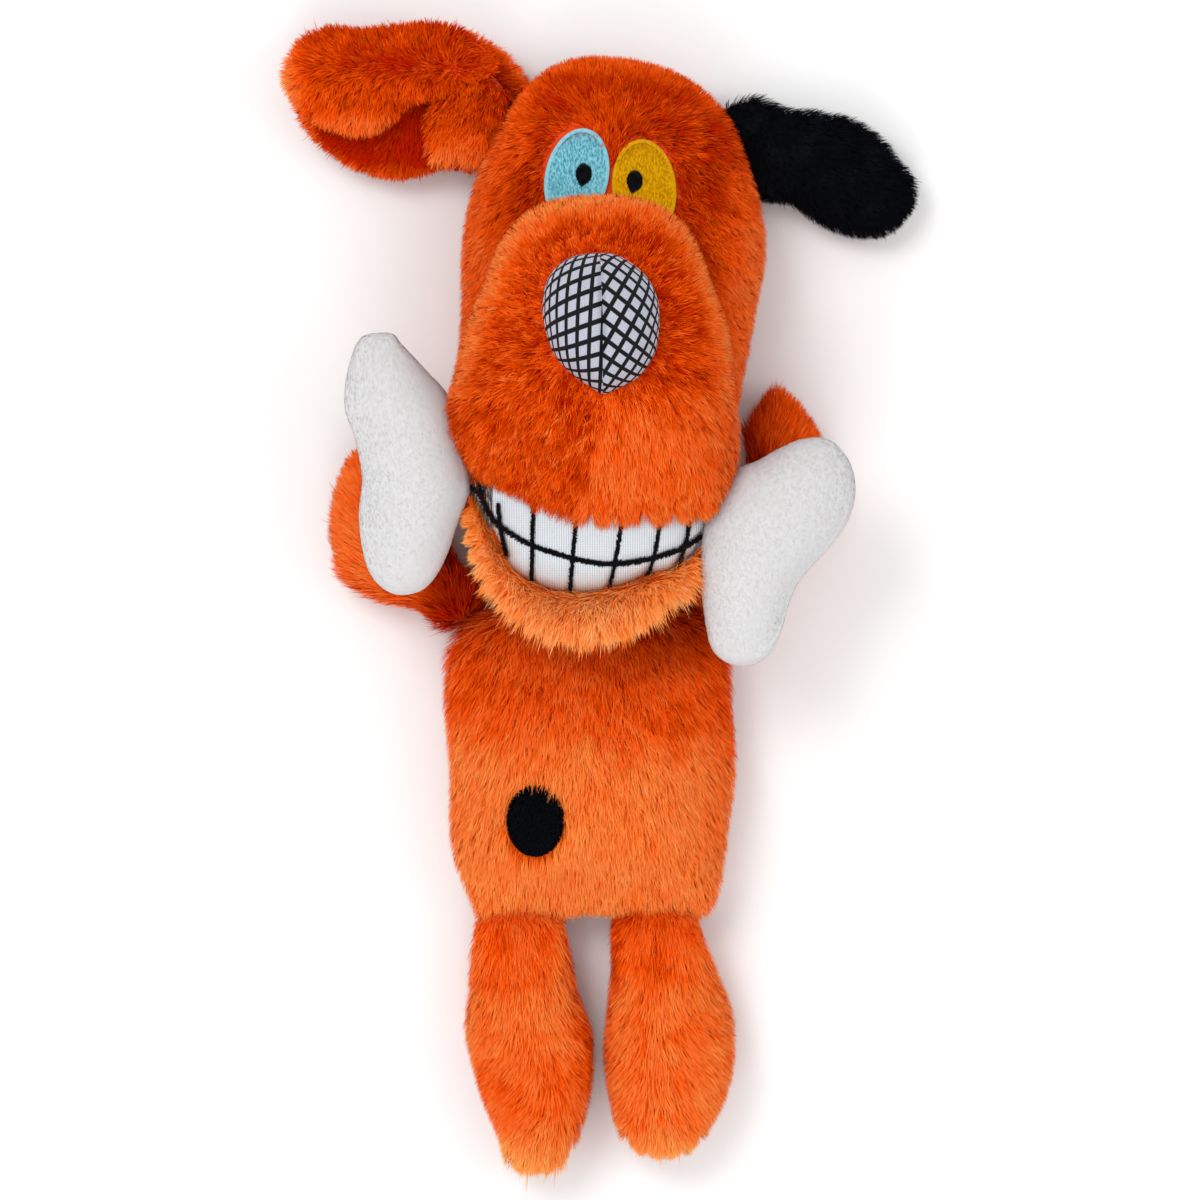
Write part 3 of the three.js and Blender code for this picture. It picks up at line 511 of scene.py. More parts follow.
# Materials
BLACK, WHITE = (0, 0, 0), (255, 255, 255)
ORANGE_TINT = (255, 110, 20)
STRAND_SHARES = (0.0, 0.45, 0.95)
RIB_WIDTH = 0.62 * MM
LOOP_HEIGHT = 0.45 * MM
CELL_LINE = ((0.0, WHITE), (0.145, WHITE), (0.18, BLACK), (0.82, BLACK), (0.855, WHITE), (1.0, WHITE))


def new_material(name):
    material = bpy.data.materials.new(name)
    material.use_nodes = True
    return material, material.node_tree, material.node_tree.nodes["Principled BSDF"]


def set_shader(shader, **values):
    for key, value in values.items():
        shader.inputs[key.replace("_", " ")].default_value = value


def ramp(tree, stops, source):
    """Display colours at shares of a source from 0 to 1."""
    node = tree.nodes.new("ShaderNodeValToRGB")
    elements = node.color_ramp.elements
    while len(elements) < len(stops):
        elements.new(0.5)
    for element, (position, colour) in zip(elements, stops):
        element.position = position
        element.color = srgb(colour)
    tree.links.new(source, node.inputs["Fac"])
    return node.outputs["Color"]


def mix_colours(tree, factor, a, b, blend="MIX"):
    node = tree.nodes.new("ShaderNodeMix")
    node.data_type = "RGBA"
    node.blend_type = blend
    for value, key in ((factor, "Factor"), (a, "A"), (b, "B")):
        socket = [s for s in node.inputs if s.name == key and s.enabled][0]
        if isinstance(value, bpy.types.NodeSocket):
            tree.links.new(value, socket)
        else:
            socket.default_value = value
    return [s for s in node.outputs if s.enabled][0]


def object_places(tree):
    return tree.nodes.new("ShaderNodeTexCoord").outputs["Object"]


def noise(tree, scale, detail, source=None):
    node = tree.nodes.new("ShaderNodeTexNoise")
    node.inputs["Scale"].default_value = scale
    node.inputs["Detail"].default_value = detail
    tree.links.new(source or object_places(tree), node.inputs["Vector"])
    return node.outputs["Fac"]


def bands(tree, axis, width, distortion):
    """The ribs or loops of knit, width apart along an axis."""
    node = tree.nodes.new("ShaderNodeTexWave")
    node.wave_type, node.bands_direction = "BANDS", axis
    node.inputs["Scale"].default_value = 2 * math.pi / 20 / width
    node.inputs["Distortion"].default_value = distortion
    tree.links.new(object_places(tree), node.inputs["Vector"])
    return node.outputs["Color"]


def add_bump(tree, shader, height, strength, distance):
    node = tree.nodes.new("ShaderNodeBump")
    node.inputs["Strength"].default_value = strength
    node.inputs["Distance"].default_value = distance
    tree.links.new(height, node.inputs["Height"])
    tree.links.new(node.outputs["Normal"], shader.inputs["Normal"])


def uv_places(tree, layer):
    uv = tree.nodes.new("ShaderNodeUVMap")
    uv.uv_map = layer
    split = tree.nodes.new("ShaderNodeSeparateXYZ")
    tree.links.new(uv.outputs["UV"], split.inputs[0])
    return split.outputs["X"], split.outputs["Y"]


def fur_material(name, tint, sets, roughness=0.7, sheen=0.1, specular=0.12):
    """sets has tones from 0 to 1, each with a strand's colours there at its root, middle and tip. Darker
    roots and paler tips are partly painted shade deep in the pile and painted highlight at the tips.
    """
    material, tree, shader = new_material(name)
    tone_there, along = uv_places(tree, "OFBake")
    colour, below = None, 0.0
    for tone, *colours in sets:
        above = ramp(tree, list(zip(STRAND_SHARES, colours)), along)
        if colour is not None:
            risen = ramp(tree, [(below, BLACK), (tone, WHITE)], tone_there)
            above = mix_colours(tree, risen, colour, above)
        colour, below = above, tone
    tree.links.new(colour, shader.inputs["Base Color"])
    set_shader(shader, Roughness=roughness, Sheen_Weight=sheen, Sheen_Roughness=0.5,
               Sheen_Tint=srgb(tint), Specular_IOR_Level=specular, Specular_Tint=srgb(tint))
    return material


def cloth_material(name, colour, second, scale, bump=0.4, sheen=0.2, specular=0.3):
    """Backing cloth or fuzz: mottled, with a fine grain. scale is grains per metre."""
    material, tree, shader = new_material(name)
    grain = noise(tree, scale, 4.0)
    blend = mix_colours(
        tree, 0.5, ramp(tree, [(0.3, colour), (0.7, second)], noise(tree, scale / 30, 2.0)),
        ramp(tree, [(0.25, colour), (0.75, second)], grain),
    )
    tree.links.new(blend, shader.inputs["Base Color"])
    add_bump(tree, shader, grain, bump, 0.4 * MM)
    set_shader(shader, Roughness=0.9, Sheen_Weight=sheen, Specular_IOR_Level=specular)
    return material


def thread_material(name, colour, second):
    """Satin stitch thread: a little shiny, with upright flecks that change from stitch to stitch."""
    material, tree, shader = new_material(name)
    stretch = tree.nodes.new("ShaderNodeMapping")
    stretch.inputs["Scale"].default_value = (1.0, 0.4, 0.4)
    tree.links.new(object_places(tree), stretch.inputs["Vector"])
    fleck = noise(tree, 2300, 2.0, source=stretch.outputs["Vector"])
    tree.links.new(ramp(tree, [(0.36, colour), (0.62, second)], fleck), shader.inputs["Base Color"])
    set_shader(shader, Roughness=0.42, Specular_IOR_Level=0.3, Specular_Tint=srgb(second))
    return material


def grid_material():
    """White cloth printed with black lines, one across each cell's edges on the grid's UV map."""
    material, tree, shader = new_material("grid_cloth")
    lines = []
    for source in uv_places(tree, "grid"):
        part = tree.nodes.new("ShaderNodeMath")
        part.operation = "FRACT"
        tree.links.new(source, part.inputs[0])
        lines.append(ramp(tree, CELL_LINE, part.outputs[0]))
    line = mix_colours(tree, 1.0, *lines, blend="LIGHTEN")
    weave = noise(tree, 4200, 2.0)
    cloth = ramp(tree, [(0.3, (158, 160, 172)), (0.7, (192, 194, 206))], weave)
    tree.links.new(mix_colours(tree, line, cloth, srgb((8, 8, 12))), shader.inputs["Base Color"])
    add_bump(tree, shader, weave, 0.35, 0.3 * MM)
    set_shader(shader, Roughness=0.75, Specular_IOR_Level=0.2)
    return material


def knit_material():
    material, tree, shader = new_material("knit")
    height = mix_colours(tree, 0.3, bands(tree, "X", RIB_WIDTH, 0.6), bands(tree, "Y", LOOP_HEIGHT, 0.0))
    grained = mix_colours(tree, 0.25, height, noise(tree, 2600, 3.0))
    # Darker in the grooves between ribs and loops: painted shade.
    tree.links.new(ramp(tree, [(0.1, (168, 172, 176)), (0.65, (218, 223, 228))], grained),
                   shader.inputs["Base Color"])
    add_bump(tree, shader, height, 0.5, 0.4 * MM)
    set_shader(shader, Roughness=0.85, Sheen_Weight=0.2)
    return material


# The black fur's bluish tips are a painted highlight. The lowest, deep red tones mostly give painted shade,
# as in the ear's hollow and under the chin.
pile_materials = {
    "orange_fur": fur_material("orange_fur", ORANGE_TINT, [
        (0.0, (166, 4, 0), (190, 8, 0), (206, 14, 0)),
        (0.08, (162, 26, 0), (184, 46, 0), (202, 66, 0)),
        (0.24, (240, 64, 0), (248, 76, 0), (253, 92, 4)),
        (1.0, (250, 118, 24), (254, 150, 52), (255, 190, 108)),
    ]),
    "pale_fur": fur_material("pale_fur", ORANGE_TINT, [
        (0.0, (200, 40, 0), (216, 60, 2), (226, 80, 10)),
        (0.2, (244, 84, 4), (252, 110, 20), (255, 142, 52)),
        (1.0, (250, 124, 30), (255, 164, 72), (255, 212, 144)),
    ]),
    "black_fur": fur_material("black_fur", (190, 205, 230), [
        (0.0, (2, 2, 3), (3, 3, 4), (4, 4, 5)),
        (0.2, (3, 3, 4), (4, 4, 6), (7, 7, 10)),
        (1.0, (5, 5, 7), (10, 11, 14), (34, 37, 44)),
    ], roughness=0.55, sheen=0.0, specular=0.06),
    "velboa": fur_material("velboa_fuzz", WHITE, [
        (0.0, (204, 202, 202), (206, 204, 204), (208, 206, 206)),
        (1.0, (210, 209, 209), (212, 211, 211), (214, 213, 213)),
    ], roughness=0.85, sheen=0.2, specular=0.08),
}
cloths = {
    "orange_fur": cloth_material("orange_backing", (236, 76, 6), (226, 62, 0), 2500),
    "pale_fur": cloth_material("pale_backing", (232, 112, 36), (220, 96, 24), 2500),
    "black_fur": cloth_material("black_backing", (5, 5, 6), (9, 9, 11), 2500, sheen=0.0, specular=0.05),
    "stuffing": cloth_material("stuffing", (244, 242, 238), (222, 220, 216), 900, bump=0.9),
    "velboa": cloth_material("velboa", (206, 204, 204), (211, 210, 211), 3500, bump=0.2, sheen=0.1),
    "grid_cloth": grid_material(),
    "knit": knit_material(),
}
thread_materials = {
    name: thread_material(name, *colours)
    for name, colours in {
        "black_thread": ((10, 10, 12), (22, 22, 26)),
        "blue_thread": ((72, 150, 172), (146, 212, 224)),
        "blue_border": ((134, 204, 220), (158, 220, 232)),
        "yellow_thread": ((184, 126, 0), (228, 174, 10)),
        "yellow_border": ((212, 160, 6), (228, 178, 20)),
    }.items()
}


# Pieces
PILE = 3.6
EAR_PILE = 2.6
FILL_GAP = 1.2
# The front pile starts at this share of the height of a form's seam
FUR_SEAM = 0.7
SIDES = (("left", -1), ("right", 1))


def settle(piece, body, nodes=None, joint_zone=None):
    """Ties a piece to its body, or, given a joint zone, bakes its place into its points and leaves it
    unparented.
    """
    if joint_zone is None:
        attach(piece, body)
    else:
        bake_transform(piece)
    if nodes is not None:
        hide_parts(*nodes)
    return piece


def cloth_piece(name, shape, body, slot, joint_zone=None, stands_in=True):
    """The cloth of a stuffed form, which stands for the frame's node of the same name."""
    piece = mesh_object(name, *shape, material=cloths[slot])
    return settle(piece, body, [name] if stands_in else [], joint_zone)


def stuffing_piece(name, form, grow, body, shape=pillow, joint_zone=None):
    """The fibre fill inside, a lumpy form a little smaller than its cover."""
    points, quads, tris = shape(form, grow * MM, sides=48, rings=10)
    normals = point_normals(points, quads, tris)[0]
    points = points + normals * (ripple(points, 9, 5) * 0.35 * MM)[:, None]
    cloth_piece(name, (points, quads, tris), body, "stuffing", joint_zone=joint_zone)


def fur_piece(name, body, slot, joint_zone=None, parts=("",), **settings):
    """A form's pile. parts ends the names of the pieces, left to right, that thick pile is divided into."""
    points, uv, facing = fur(**settings)
    across = np.argsort(points[:, 0, 0], kind="stable")
    for part, own in zip(parts, np.array_split(across, len(parts))):
        piece = mesh_object(
            name + part, points[own].reshape(-1, 3), *ribbon_faces(len(own)), uv=uv[own].reshape(-1, 2),
            material=pile_materials[slot], facing=facing[own].reshape(-1, 3),
        )
        settle(piece, body, joint_zone=joint_zone)


def pixels(points):
    """The photograph's pixel column and row of each point."""
    away = (points[:, :2] - torso["centre"]) / torso["size"] * torso["span"]
    return torso["middle"][0] + away[:, 0], torso["middle"][1] - away[:, 1]


def at(pixel):
    return place(muzzle, pixel)


def away_from(pixel, lift=0.0):
    """A comb that leads away from a pixel."""
    def comb(points):
        way = unit(points[:, :2] - at(pixel))
        return np.column_stack([way, np.full(len(points), lift)])

    return comb


def straight(*way):
    return lambda points: np.tile(unit(np.array([way], float)), (len(points), 1))


def downwards(side, lift=-0.1):
    """Ways that lead down the picture and lean sideways by side."""
    return unit(np.column_stack([side, -np.ones(len(side)), np.full(len(side), lift)]))


def turned(turn):
    return np.column_stack([np.cos(turn), np.sin(turn), np.full(len(turn), -0.1)])


def outside(*forms, grow=-3.0):
    return lambda points: ~np.any([is_inside(f, points, grow * MM) for f in forms], axis=0)


def both(*tests):
    return lambda points: np.all([test(points) for test in tests], axis=0)


def in_half(form, side, share=1.0):
    """A test for the points in front of a share of a form's seam height, or for those behind it."""
    return lambda points: (points[:, 2] >= form["seam"] * share) == (side == "front")


def oval_share(points, middle, radii):
    """How far out each point lies in an oval of the photograph, 1 at its edge."""
    return np.linalg.norm((np.column_stack(pixels(points)) - middle) / radii, axis=1)


def patch(points, middle, radii):
    """1 in an oval patch, fading at its edge. The tones laid on such patches are mostly painted shade, as
    where pile lies the other way.
    """
    return ease((1.15 - oval_share(points, middle, radii)) / 0.3)


def edge_of(form, points, start):
    """1 at a form's outline, fading towards a share start of the way out. The tones raise the pile there as
    a painted rim light.
    """
    return ease((reach_at(form, points) - start) / 0.1)


def nearest_lock(points, columns):
    return columns[np.abs(pixels(points)[0][:, None] - columns[None]).argmin(1)]


def drawn_to(points, columns, share):
    """How far tips are drawn sideways into pointed locks at pixel columns."""
    sideways = (nearest_lock(points, columns) - pixels(points)[0]) * torso["size"][0] / torso["span"][0]
    return np.column_stack([0.6 * sideways * share, np.zeros((len(points), 2))])


torso_surface = pillow(torso, -PILE * MM, sides=120, rings=20)
head_surface = pillow(head, -PILE * MM, sides=140, rings=24)
for name, form, surface in (("torso", torso, torso_surface), ("head", head, head_surface)):
    for side in ("front", "back"):
        shape = only_faces(*surface, in_half(form, side))
        cloth_piece(f"{name}_{side}_panel", shape, name, "orange_fur")
    stuffing_piece(f"{name}_fill", form, -PILE - FILL_GAP, name)

# Torso
SPOT = (535, 821), (26, 33)
SPOT_LIFT = 2.6 * MM
SPOT_THICKNESS = 3.0 * MM
SPOT_COVER = 40, 6
TORSO_RIDGE_X, TORSO_FAN_WIDTH = 560, 175
RIGHT_SHADE_COLUMNS, PALE_ROWS, PALE_WAVE = (650, 710), (690, 760), 26
CHIN_SHADOW = (640, 622), (16, 12)
HEM_ROWS = 885, 905
TORSO_PILE = 7.8


def torso_comb(points):
    side = np.clip((pixels(points)[0] - TORSO_RIDGE_X) / TORSO_FAN_WIDTH, -0.3, 1)
    return downwards(0.34 * side, -0.15)


def torso_tone(points):
    x, y = pixels(points)
    # The upper pile's lower tone is partly painted shade under the head; it turns paler from rows 690 to
    # 760. Darker to the right and in an oval under the chin: painted shade.
    pale = 0.3 * fade(y + PALE_WAVE * ripple(points * (1, 0, 0), 16, 2), PALE_ROWS)
    dark = 0.08 * fade(x, RIGHT_SHADE_COLUMNS) + 0.3 * patch(points, *CHIN_SHADOW)
    return 0.28 + pale - dark + mottle(points, (0.06, 22, 3), (0.05, 7, 4))


def torso_length(points):
    """Shorter above the belly spot, so that the pile only just reaches over its edge."""
    x, y = pixels(points)
    room = 1.3 + np.maximum(oval_share(points, *SPOT) - 1, 0) * 9.2
    above = (np.abs(x - SPOT[0][0]) < SPOT_COVER[0]) & (y < SPOT[0][1] + SPOT_COVER[1])
    hem = fade(y, HEM_ROWS) * (3.4 + 2.2 * ripple(points * (1, 0, 0), 4, 22))
    return np.where(above, np.minimum(TORSO_PILE, room), TORSO_PILE + hem)


fur_piece(
    "torso_front_fur", "torso", "orange_fur", parts=("_left", "_right"),
    surface=only_faces(*torso_surface, in_half(torso, "front", FUR_SEAM)),
    density=7.5, length=torso_length, comb=torso_comb, tone=torso_tone, seed=1, gather=0.34, streak=0.08,
    keep=both(outside(head), lambda p: oval_share(p, *SPOT) > 1.07),
)
fur_piece(
    "torso_back_fur", "torso", "orange_fur",
    surface=only_faces(*torso_surface, in_half(torso, "back", FUR_SEAM)),
    density=3.0, length=8.5, comb=torso_comb, tone=torso_tone, seed=2, width=0.42, keep=outside(head),
)


# Belly spot: a black plush patch whose edge the orange fur overlaps

def spot_patch():
    rings, sides = 10, 48
    turn = np.linspace(0, 2 * math.pi, sides, endpoint=False)
    circle = np.column_stack([np.cos(turn), np.sin(turn)])
    middle, radii = SPOT
    ovals = [middle + circle * radii * (ring / rings) for ring in range(rings, 0, -1)]
    rows = []
    for xy in [place(torso, oval) for oval in [*ovals, [middle]]]:
        rows.append(np.column_stack([xy, front_height(torso, xy, -PILE * MM) + SPOT_LIFT]))
    under = (0, 0, SPOT_THICKNESS)
    return tube([rows[0] - under, *rows[:-1], np.vstack([rows[-1] - under, rows[-1]])])


spot_surface = spot_patch()
cloth_piece("belly_spot", spot_surface, "torso", "black_fur")
fur_piece(
    "belly_spot_fur", "torso", "black_fur", surface=spot_surface, density=30, length=1.2,
    comb=straight(0, -1, -0.1), tone=lambda p: np.full(len(p), 0.2), width=0.26, seed=3,
    lean=(0.2, 0.7), spread=0.3, gather=0.2, height=1.0,
)

# Head
EYES = {
    "eye_left": {"middle": (577, 178), "radii": (32, 49), "pupil": (584, 175), "lean": -0.12,
                 "colour": "blue"},
    "eye_right": {"middle": (644, 190), "radii": (32, 50), "pupil": (634.6, 182), "lean": 0.05,
                  "colour": "yellow"},
}
PUPIL_RADII = (8, 11)
HEAD_RIDGE_X, HEAD_FAN_WIDTH = 612, 130
CROWN_ROWS = 70, 180
HEAD_SIDE_COLUMNS, HEAD_SIDE_ROWS = (80, 130), (120, 190)
PALE_BY_EAR = (505, 125), (36, 50)
SHADE_BY_BLACK_EAR = (728, 160), (36, 60)
CHIN_ROW = 590


def eye_share(points):
    """How far out each point lies from the nearer eye, 1 at its edge."""
    shares = [oval_share(points, eye["middle"], eye["radii"]) for eye in EYES.values()]
    return np.where(points[:, 2] > head["seam"], np.min(shares, 0), 9.0)


def head_comb(points):
    """Up and out over the crown, then turning down along the sides."""
    x, y = pixels(points)
    side = np.clip((x - HEAD_RIDGE_X) / HEAD_FAN_WIDTH, -1, 1)
    share = fade(y, CROWN_ROWS)
    return turned(math.pi / 2 - np.clip(side * 3, -1, 1) * share * 2.75 - side * 0.9 * (1 - share))


def head_tone(points):
    x, y = pixels(points)
    # The low base tone is partly painted shade over the crown, lighter at the sides. The dark patch beside
    # the black ear is painted shadow and the paler edge a painted rim light.
    side = fade(np.abs(x - HEAD_RIDGE_X), HEAD_SIDE_COLUMNS) * fade(y, HEAD_SIDE_ROWS)
    side *= np.where(x < HEAD_RIDGE_X, 0.24, 0.3)
    by_ears = 0.12 * patch(points, *PALE_BY_EAR) - 0.1 * patch(points, *SHADE_BY_BLACK_EAR)
    edge = 0.16 * edge_of(head, points, 0.86)
    return 0.1 + side + edge + by_ears + mottle(points, (0.04, 18, 7), (0.04, 6, 8))


def head_length(points):
    return 2.2 + 4.6 * np.clip((eye_share(points) - 1) / 0.5, 0, 1)


def head_height(points):
    return 1.7 + 2.0 * np.clip((eye_share(points) - 1) / 0.4, 0, 1)


fur_piece(
    "head_front_fur", "head", "orange_fur", parts=("_left", "_right"),
    surface=only_faces(*head_surface, in_half(head, "front", FUR_SEAM)),
    density=7.0, length=head_length, comb=head_comb, tone=head_tone, seed=4,
    keep=both(outside(muzzle), lambda p: eye_share(p) > 1.06, lambda p: pixels(p)[1] < CHIN_ROW),
    lean=(0.6, 1.2), wild=0.35, height=head_height,
)
fur_piece(
    "head_back_fur", "head", "orange_fur",
    surface=only_faces(*head_surface, in_half(head, "back", FUR_SEAM)),
    density=2.8, length=8.0, comb=head_comb, tone=head_tone, seed=5, width=0.42,
)

# Muzzle, with a seam down its middle under the nose
MUZZLE_SEAM_PIXEL = 600, 350
FUR_SEAM_X, FUR_SEAM_BEND_ROW, FUR_SEAM_SLOPE = 604, 398, 0.19
NOSE_BRIDGE_PIXEL = 602, 330
MUZZLE_FALL_ROWS, MUZZLE_LOW_ROWS = (340, 450), (350, 430)
MUZZLE_FAN_X, MUZZLE_FAN_WIDTH = 590, 140
OVER_NOSE_ROWS = 330, 280
FRINGE_ROWS, FRINGE_COLUMNS, FLUFFY_ROWS = (485, 515), (488, 514), (330, 390)
MOUTH_X, BONE_COLUMNS, BONE_ROWS_IN, BONE_ROWS_OUT = 592, (118, 136), (370, 410), (486, 472)
LOCK_COLUMNS = np.array([478, 496, 514, 534, 556, 577, 603, 628, 660, 684, 706, 724])
LONG_LOCKS = {577: 3.0, 603: 1.8, 628: 2.4, 660: 3.4}
LOCK_HALF_WIDTH = 7
LOCK_ROWS, LONG_LOCK_ROWS = (480, 505), (495, 510)
MOUTH_CORNER_COLUMNS, MOUTH_CORNER_ROWS = (506, 480), (462, 478)


def half_side(points):
    """Negative on the muzzle's left half and positive on its right, in pixels from the seam."""
    x, y = pixels(points)
    return x - FUR_SEAM_X + FUR_SEAM_SLOPE * np.maximum(y - FUR_SEAM_BEND_ROW, 0)


def muzzle_comb(points):
    """Away from the nose, then down, ruffled on the left half and in a fan on the right."""
    x, y = pixels(points)
    fan = 0.3 * (x - MUZZLE_FAN_X) / MUZZLE_FAN_WIDTH
    falling = downwards(np.where(half_side(points) < 0, -0.35 - 0.3 * ripple(points, 9, 17), fan))
    share = fade(y, MUZZLE_FALL_ROWS)[:, None]
    return unit(away_from(NOSE_BRIDGE_PIXEL)(points) * (1 - share) + falling * share)


def muzzle_tone(points):
    half = half_side(points)
    low = fade(pixels(points)[1], MUZZLE_LOW_ROWS)
    side = np.where(half > 0, 0.22 * low, 0.05 + 0.03 * low)
    # Painted light: the paler rim over the top and the paler edge. Painted shade: the dark spaces between
    # locks low on the left half.
    rim = 0.35 * ease((reach_at(muzzle, points) - 0.7) / 0.18) * (1 - low)
    shaded_gaps = 0.2 * ease((ripple(points, 4.5, 23) - 0.7) / 0.3) * low * (half < 0)
    edge = 0.1 * edge_of(muzzle, points, 0.86)
    return 0.12 + rim + side - shaded_gaps + edge + mottle(points, (0.04, 16, 9), (0.05, 6, 10))


def near_nose(points):
    return ease(1 - (reach_at(nose, points) - 1) / 0.45)


def muzzle_height(points):
    x, y = pixels(points)
    fringe = fade(y, FRINGE_ROWS) * fade(x, FRINGE_COLUMNS)
    fluffy = (half_side(points) < 0) * fade(y, FLUFFY_ROWS)
    by_bones = fade(np.abs(x - MOUTH_X), BONE_COLUMNS) * fade(y, BONE_ROWS_IN) * fade(y, BONE_ROWS_OUT)
    return 3.7 + 0.5 * fluffy + 2.6 * fringe - 2.2 * near_nose(points) + 1.6 * by_bones


def fringe_locks(points):
    return drawn_to(points, LOCK_COLUMNS, fade(pixels(points)[1], LOCK_ROWS))


def muzzle_length(points):
    """Short round the nose, longer in the fringe's locks and short again at the mouth's left corner."""
    x, y = pixels(points)
    over_nose = fade(y, OVER_NOSE_ROWS)
    length = 8.4 - 1.8 * (half_side(points) < 0) - (4.6 - 1.4 * over_nose) * near_nose(points)
    lock = nearest_lock(points, LOCK_COLUMNS)
    extra = sum(more * (lock == column) * (np.abs(x - column) < LOCK_HALF_WIDTH)
                for column, more in LONG_LOCKS.items())
    corner = fade(x, MOUTH_CORNER_COLUMNS) * fade(y, MOUTH_CORNER_ROWS)
    return length - 1.4 * over_nose + extra * fade(y, LONG_LOCK_ROWS) - 3.4 * corner


muzzle_cloth = pillow(muzzle, -PILE * MM, sides=120, rings=20)
muzzle_surface = pillow(muzzle, -PILE * MM, sides=140, rings=28)
for side, sign in SIDES:
    shape = only_faces(*muzzle_cloth, lambda p, s=sign: (p[:, 0] - at(MUZZLE_SEAM_PIXEL)[0]) * s > 0)
    cloth_piece(f"muzzle_{side}_panel", shape, "head", "orange_fur")
    laid = ({"lean": (0.6, 1.15), "wild": 0.35, "gather": 0.4} if sign < 0 else
            {"lean": (0.8, 1.32), "wild": 0.16, "gather": 0.5})
    fur_piece(
        f"muzzle_{side}_fur", "head", "orange_fur",
        surface=only_faces(*muzzle_surface, lambda p, s=sign: half_side(p) * s > 0),
        density=9.0, length=muzzle_length, comb=muzzle_comb, tone=muzzle_tone, height=muzzle_height,
        locks=fringe_locks, streak=0.1, seed=6 + sign,
        keep=both(outside(head, grow=-6.0), outside(nose, grow=-0.5)), **laid,
    )
stuffing_piece("muzzle_fill", muzzle, -PILE - FILL_GAP, "head")

# Nose: two panels of white cloth with a black grid, which meet at a seam
NOSE_SIDES, NOSE_RINGS = 140, 36
NOSE_SEAM_DEPTH = 1.3 * MM
NOSE_SEAM_WIDTH = 0.8 * MM
NOSE_FILL_GAP = 1.8
GRID_MIDDLE = 603, 325
# Which way each half's two sets of cells follow one another, in radians, and their width in pixels
GRID_STEPS = {
    "left": ((0.05, 12.8), (math.pi / 2 - 0.33, 15.6)),
    "right": ((math.pi / 2 + 0.66, 13.8), (0.52, 14.2)),
}


def beside_nose_seam(points):
    """How far right of the nose's seam each point lies. The seam bends at the nose's peak."""
    loop = outline_loop(nose, 0.0, NOSE_SIDES)
    seam = np.array([loop[loop[:, 1].argmin()], nose["heart"], loop[0]])
    return points[:, 0] - np.interp(points[:, 1], seam[:, 1], seam[:, 0])


def nose_shape():
    """The nose with a groove along its seam."""
    points, quads, tris = pillow(nose, 0.0, NOSE_SIDES, NOSE_RINGS)
    groove = np.exp(-(beside_nose_seam(points) / NOSE_SEAM_WIDTH) ** 2) * NOSE_SEAM_DEPTH
    points[:, 2] -= groove * (points[:, 2] > nose["seam"])
    return points, quads, tris


def cloth_stretch(points):
    """How much longer the way from the nose's peak is along the cloth than straight out."""
    straight_out = np.maximum(np.linalg.norm(points[:, :2] - nose["heart"], axis=1), 1e-9)
    reach = np.clip(reach_at(nose, points), 1e-6, 1)
    turn = np.arccos(reach ** (1 / nose["fullness"])) * np.where(points[:, 2] > nose["seam"], 1, -1)
    turns = turn[:, None] + (math.pi / 2 - turn)[:, None] * np.linspace(0, 1, 60)[None]
    out = (straight_out / reach)[:, None] * np.abs(np.cos(turns)) ** nose["fullness"]
    high = np.where(turns > 0, nose["rise"], nose["drop"])
    up = high * np.sign(turns) * np.abs(np.sin(turns)) ** nose["fullness"]
    return np.hypot(np.diff(out, axis=1), np.diff(up, axis=1)).sum(1) / straight_out


def grid_places(points, side):
    """Where each point lies on the printed grid, in cells."""
    away = (np.column_stack(pixels(points)) - GRID_MIDDLE) * cloth_stretch(points)[:, None]
    ways = [(math.cos(turn) / cell, math.sin(turn) / cell) for turn, cell in GRID_STEPS[side]]
    return away @ np.transpose(ways)


nose_surface = nose_shape()
for side, sign in SIDES:
    shape = only_faces(*nose_surface, lambda p, s=sign: beside_nose_seam(p) * s > 0)
    piece = cloth_piece(f"nose_{side}_panel", shape, "head", "grid_cloth")
    add_uv_layer(piece.data, "grid", grid_places(shape[0], side))
stuffing_piece("nose_fill", nose, -NOSE_FILL_GAP, "head")


# Stitches: half-round threads laid side by side
THREAD_PITCH = 0.3 * MM
PUPIL_PITCH = 0.28 * MM
PUPIL_TAIL = 0.8 * MM
THREAD_SHARE = 0.56
FILL_HEIGHT = 0.26 * MM
BORDER_HEIGHT = 0.34 * MM
BORDER_REACH = 1.1 * MM
STITCH_LENGTH = 2.6 * MM
STITCH_DIP = 0.16 * MM
SUNK = 0.12 * MM
EYE_GROW = -2.6 * MM
EYE_INSET_PIXELS = 2
BORDER_LIFT = 0.1 * MM
PUPIL_LIFT = 0.3 * MM
SLOPE_STEP = 0.3 * MM


def threads(name, lines, normals, sides, half_width, height, material, ends=1.0):
    """Half-round strips. sides has, for each point of each thread, the way across it."""
    count, steps = sides.shape[:2]
    lines, normals = lines.reshape(sides.shape), normals.reshape(sides.shape)
    taper = (1 - ends * np.abs(np.linspace(-1, 1, steps)) ** 6)[None, :, None]
    rows = [
        lines + sides * (math.cos(turn) * half_width) * np.maximum(taper, 0.35)
        + normals * (math.sin(turn) * height - SUNK) * taper
        for turn in np.linspace(0, math.pi, 5)
    ]
    grid = np.arange(count * steps * len(rows)).reshape(count, steps, len(rows))
    low, high = grid[:, :-1], grid[:, 1:]
    quads = np.stack([low[..., :-1], low[..., 1:], high[..., 1:], high[..., :-1]], -1)
    return mesh_object(name, np.stack(rows, 2).reshape(-1, 3), quads, material=thread_materials[material])


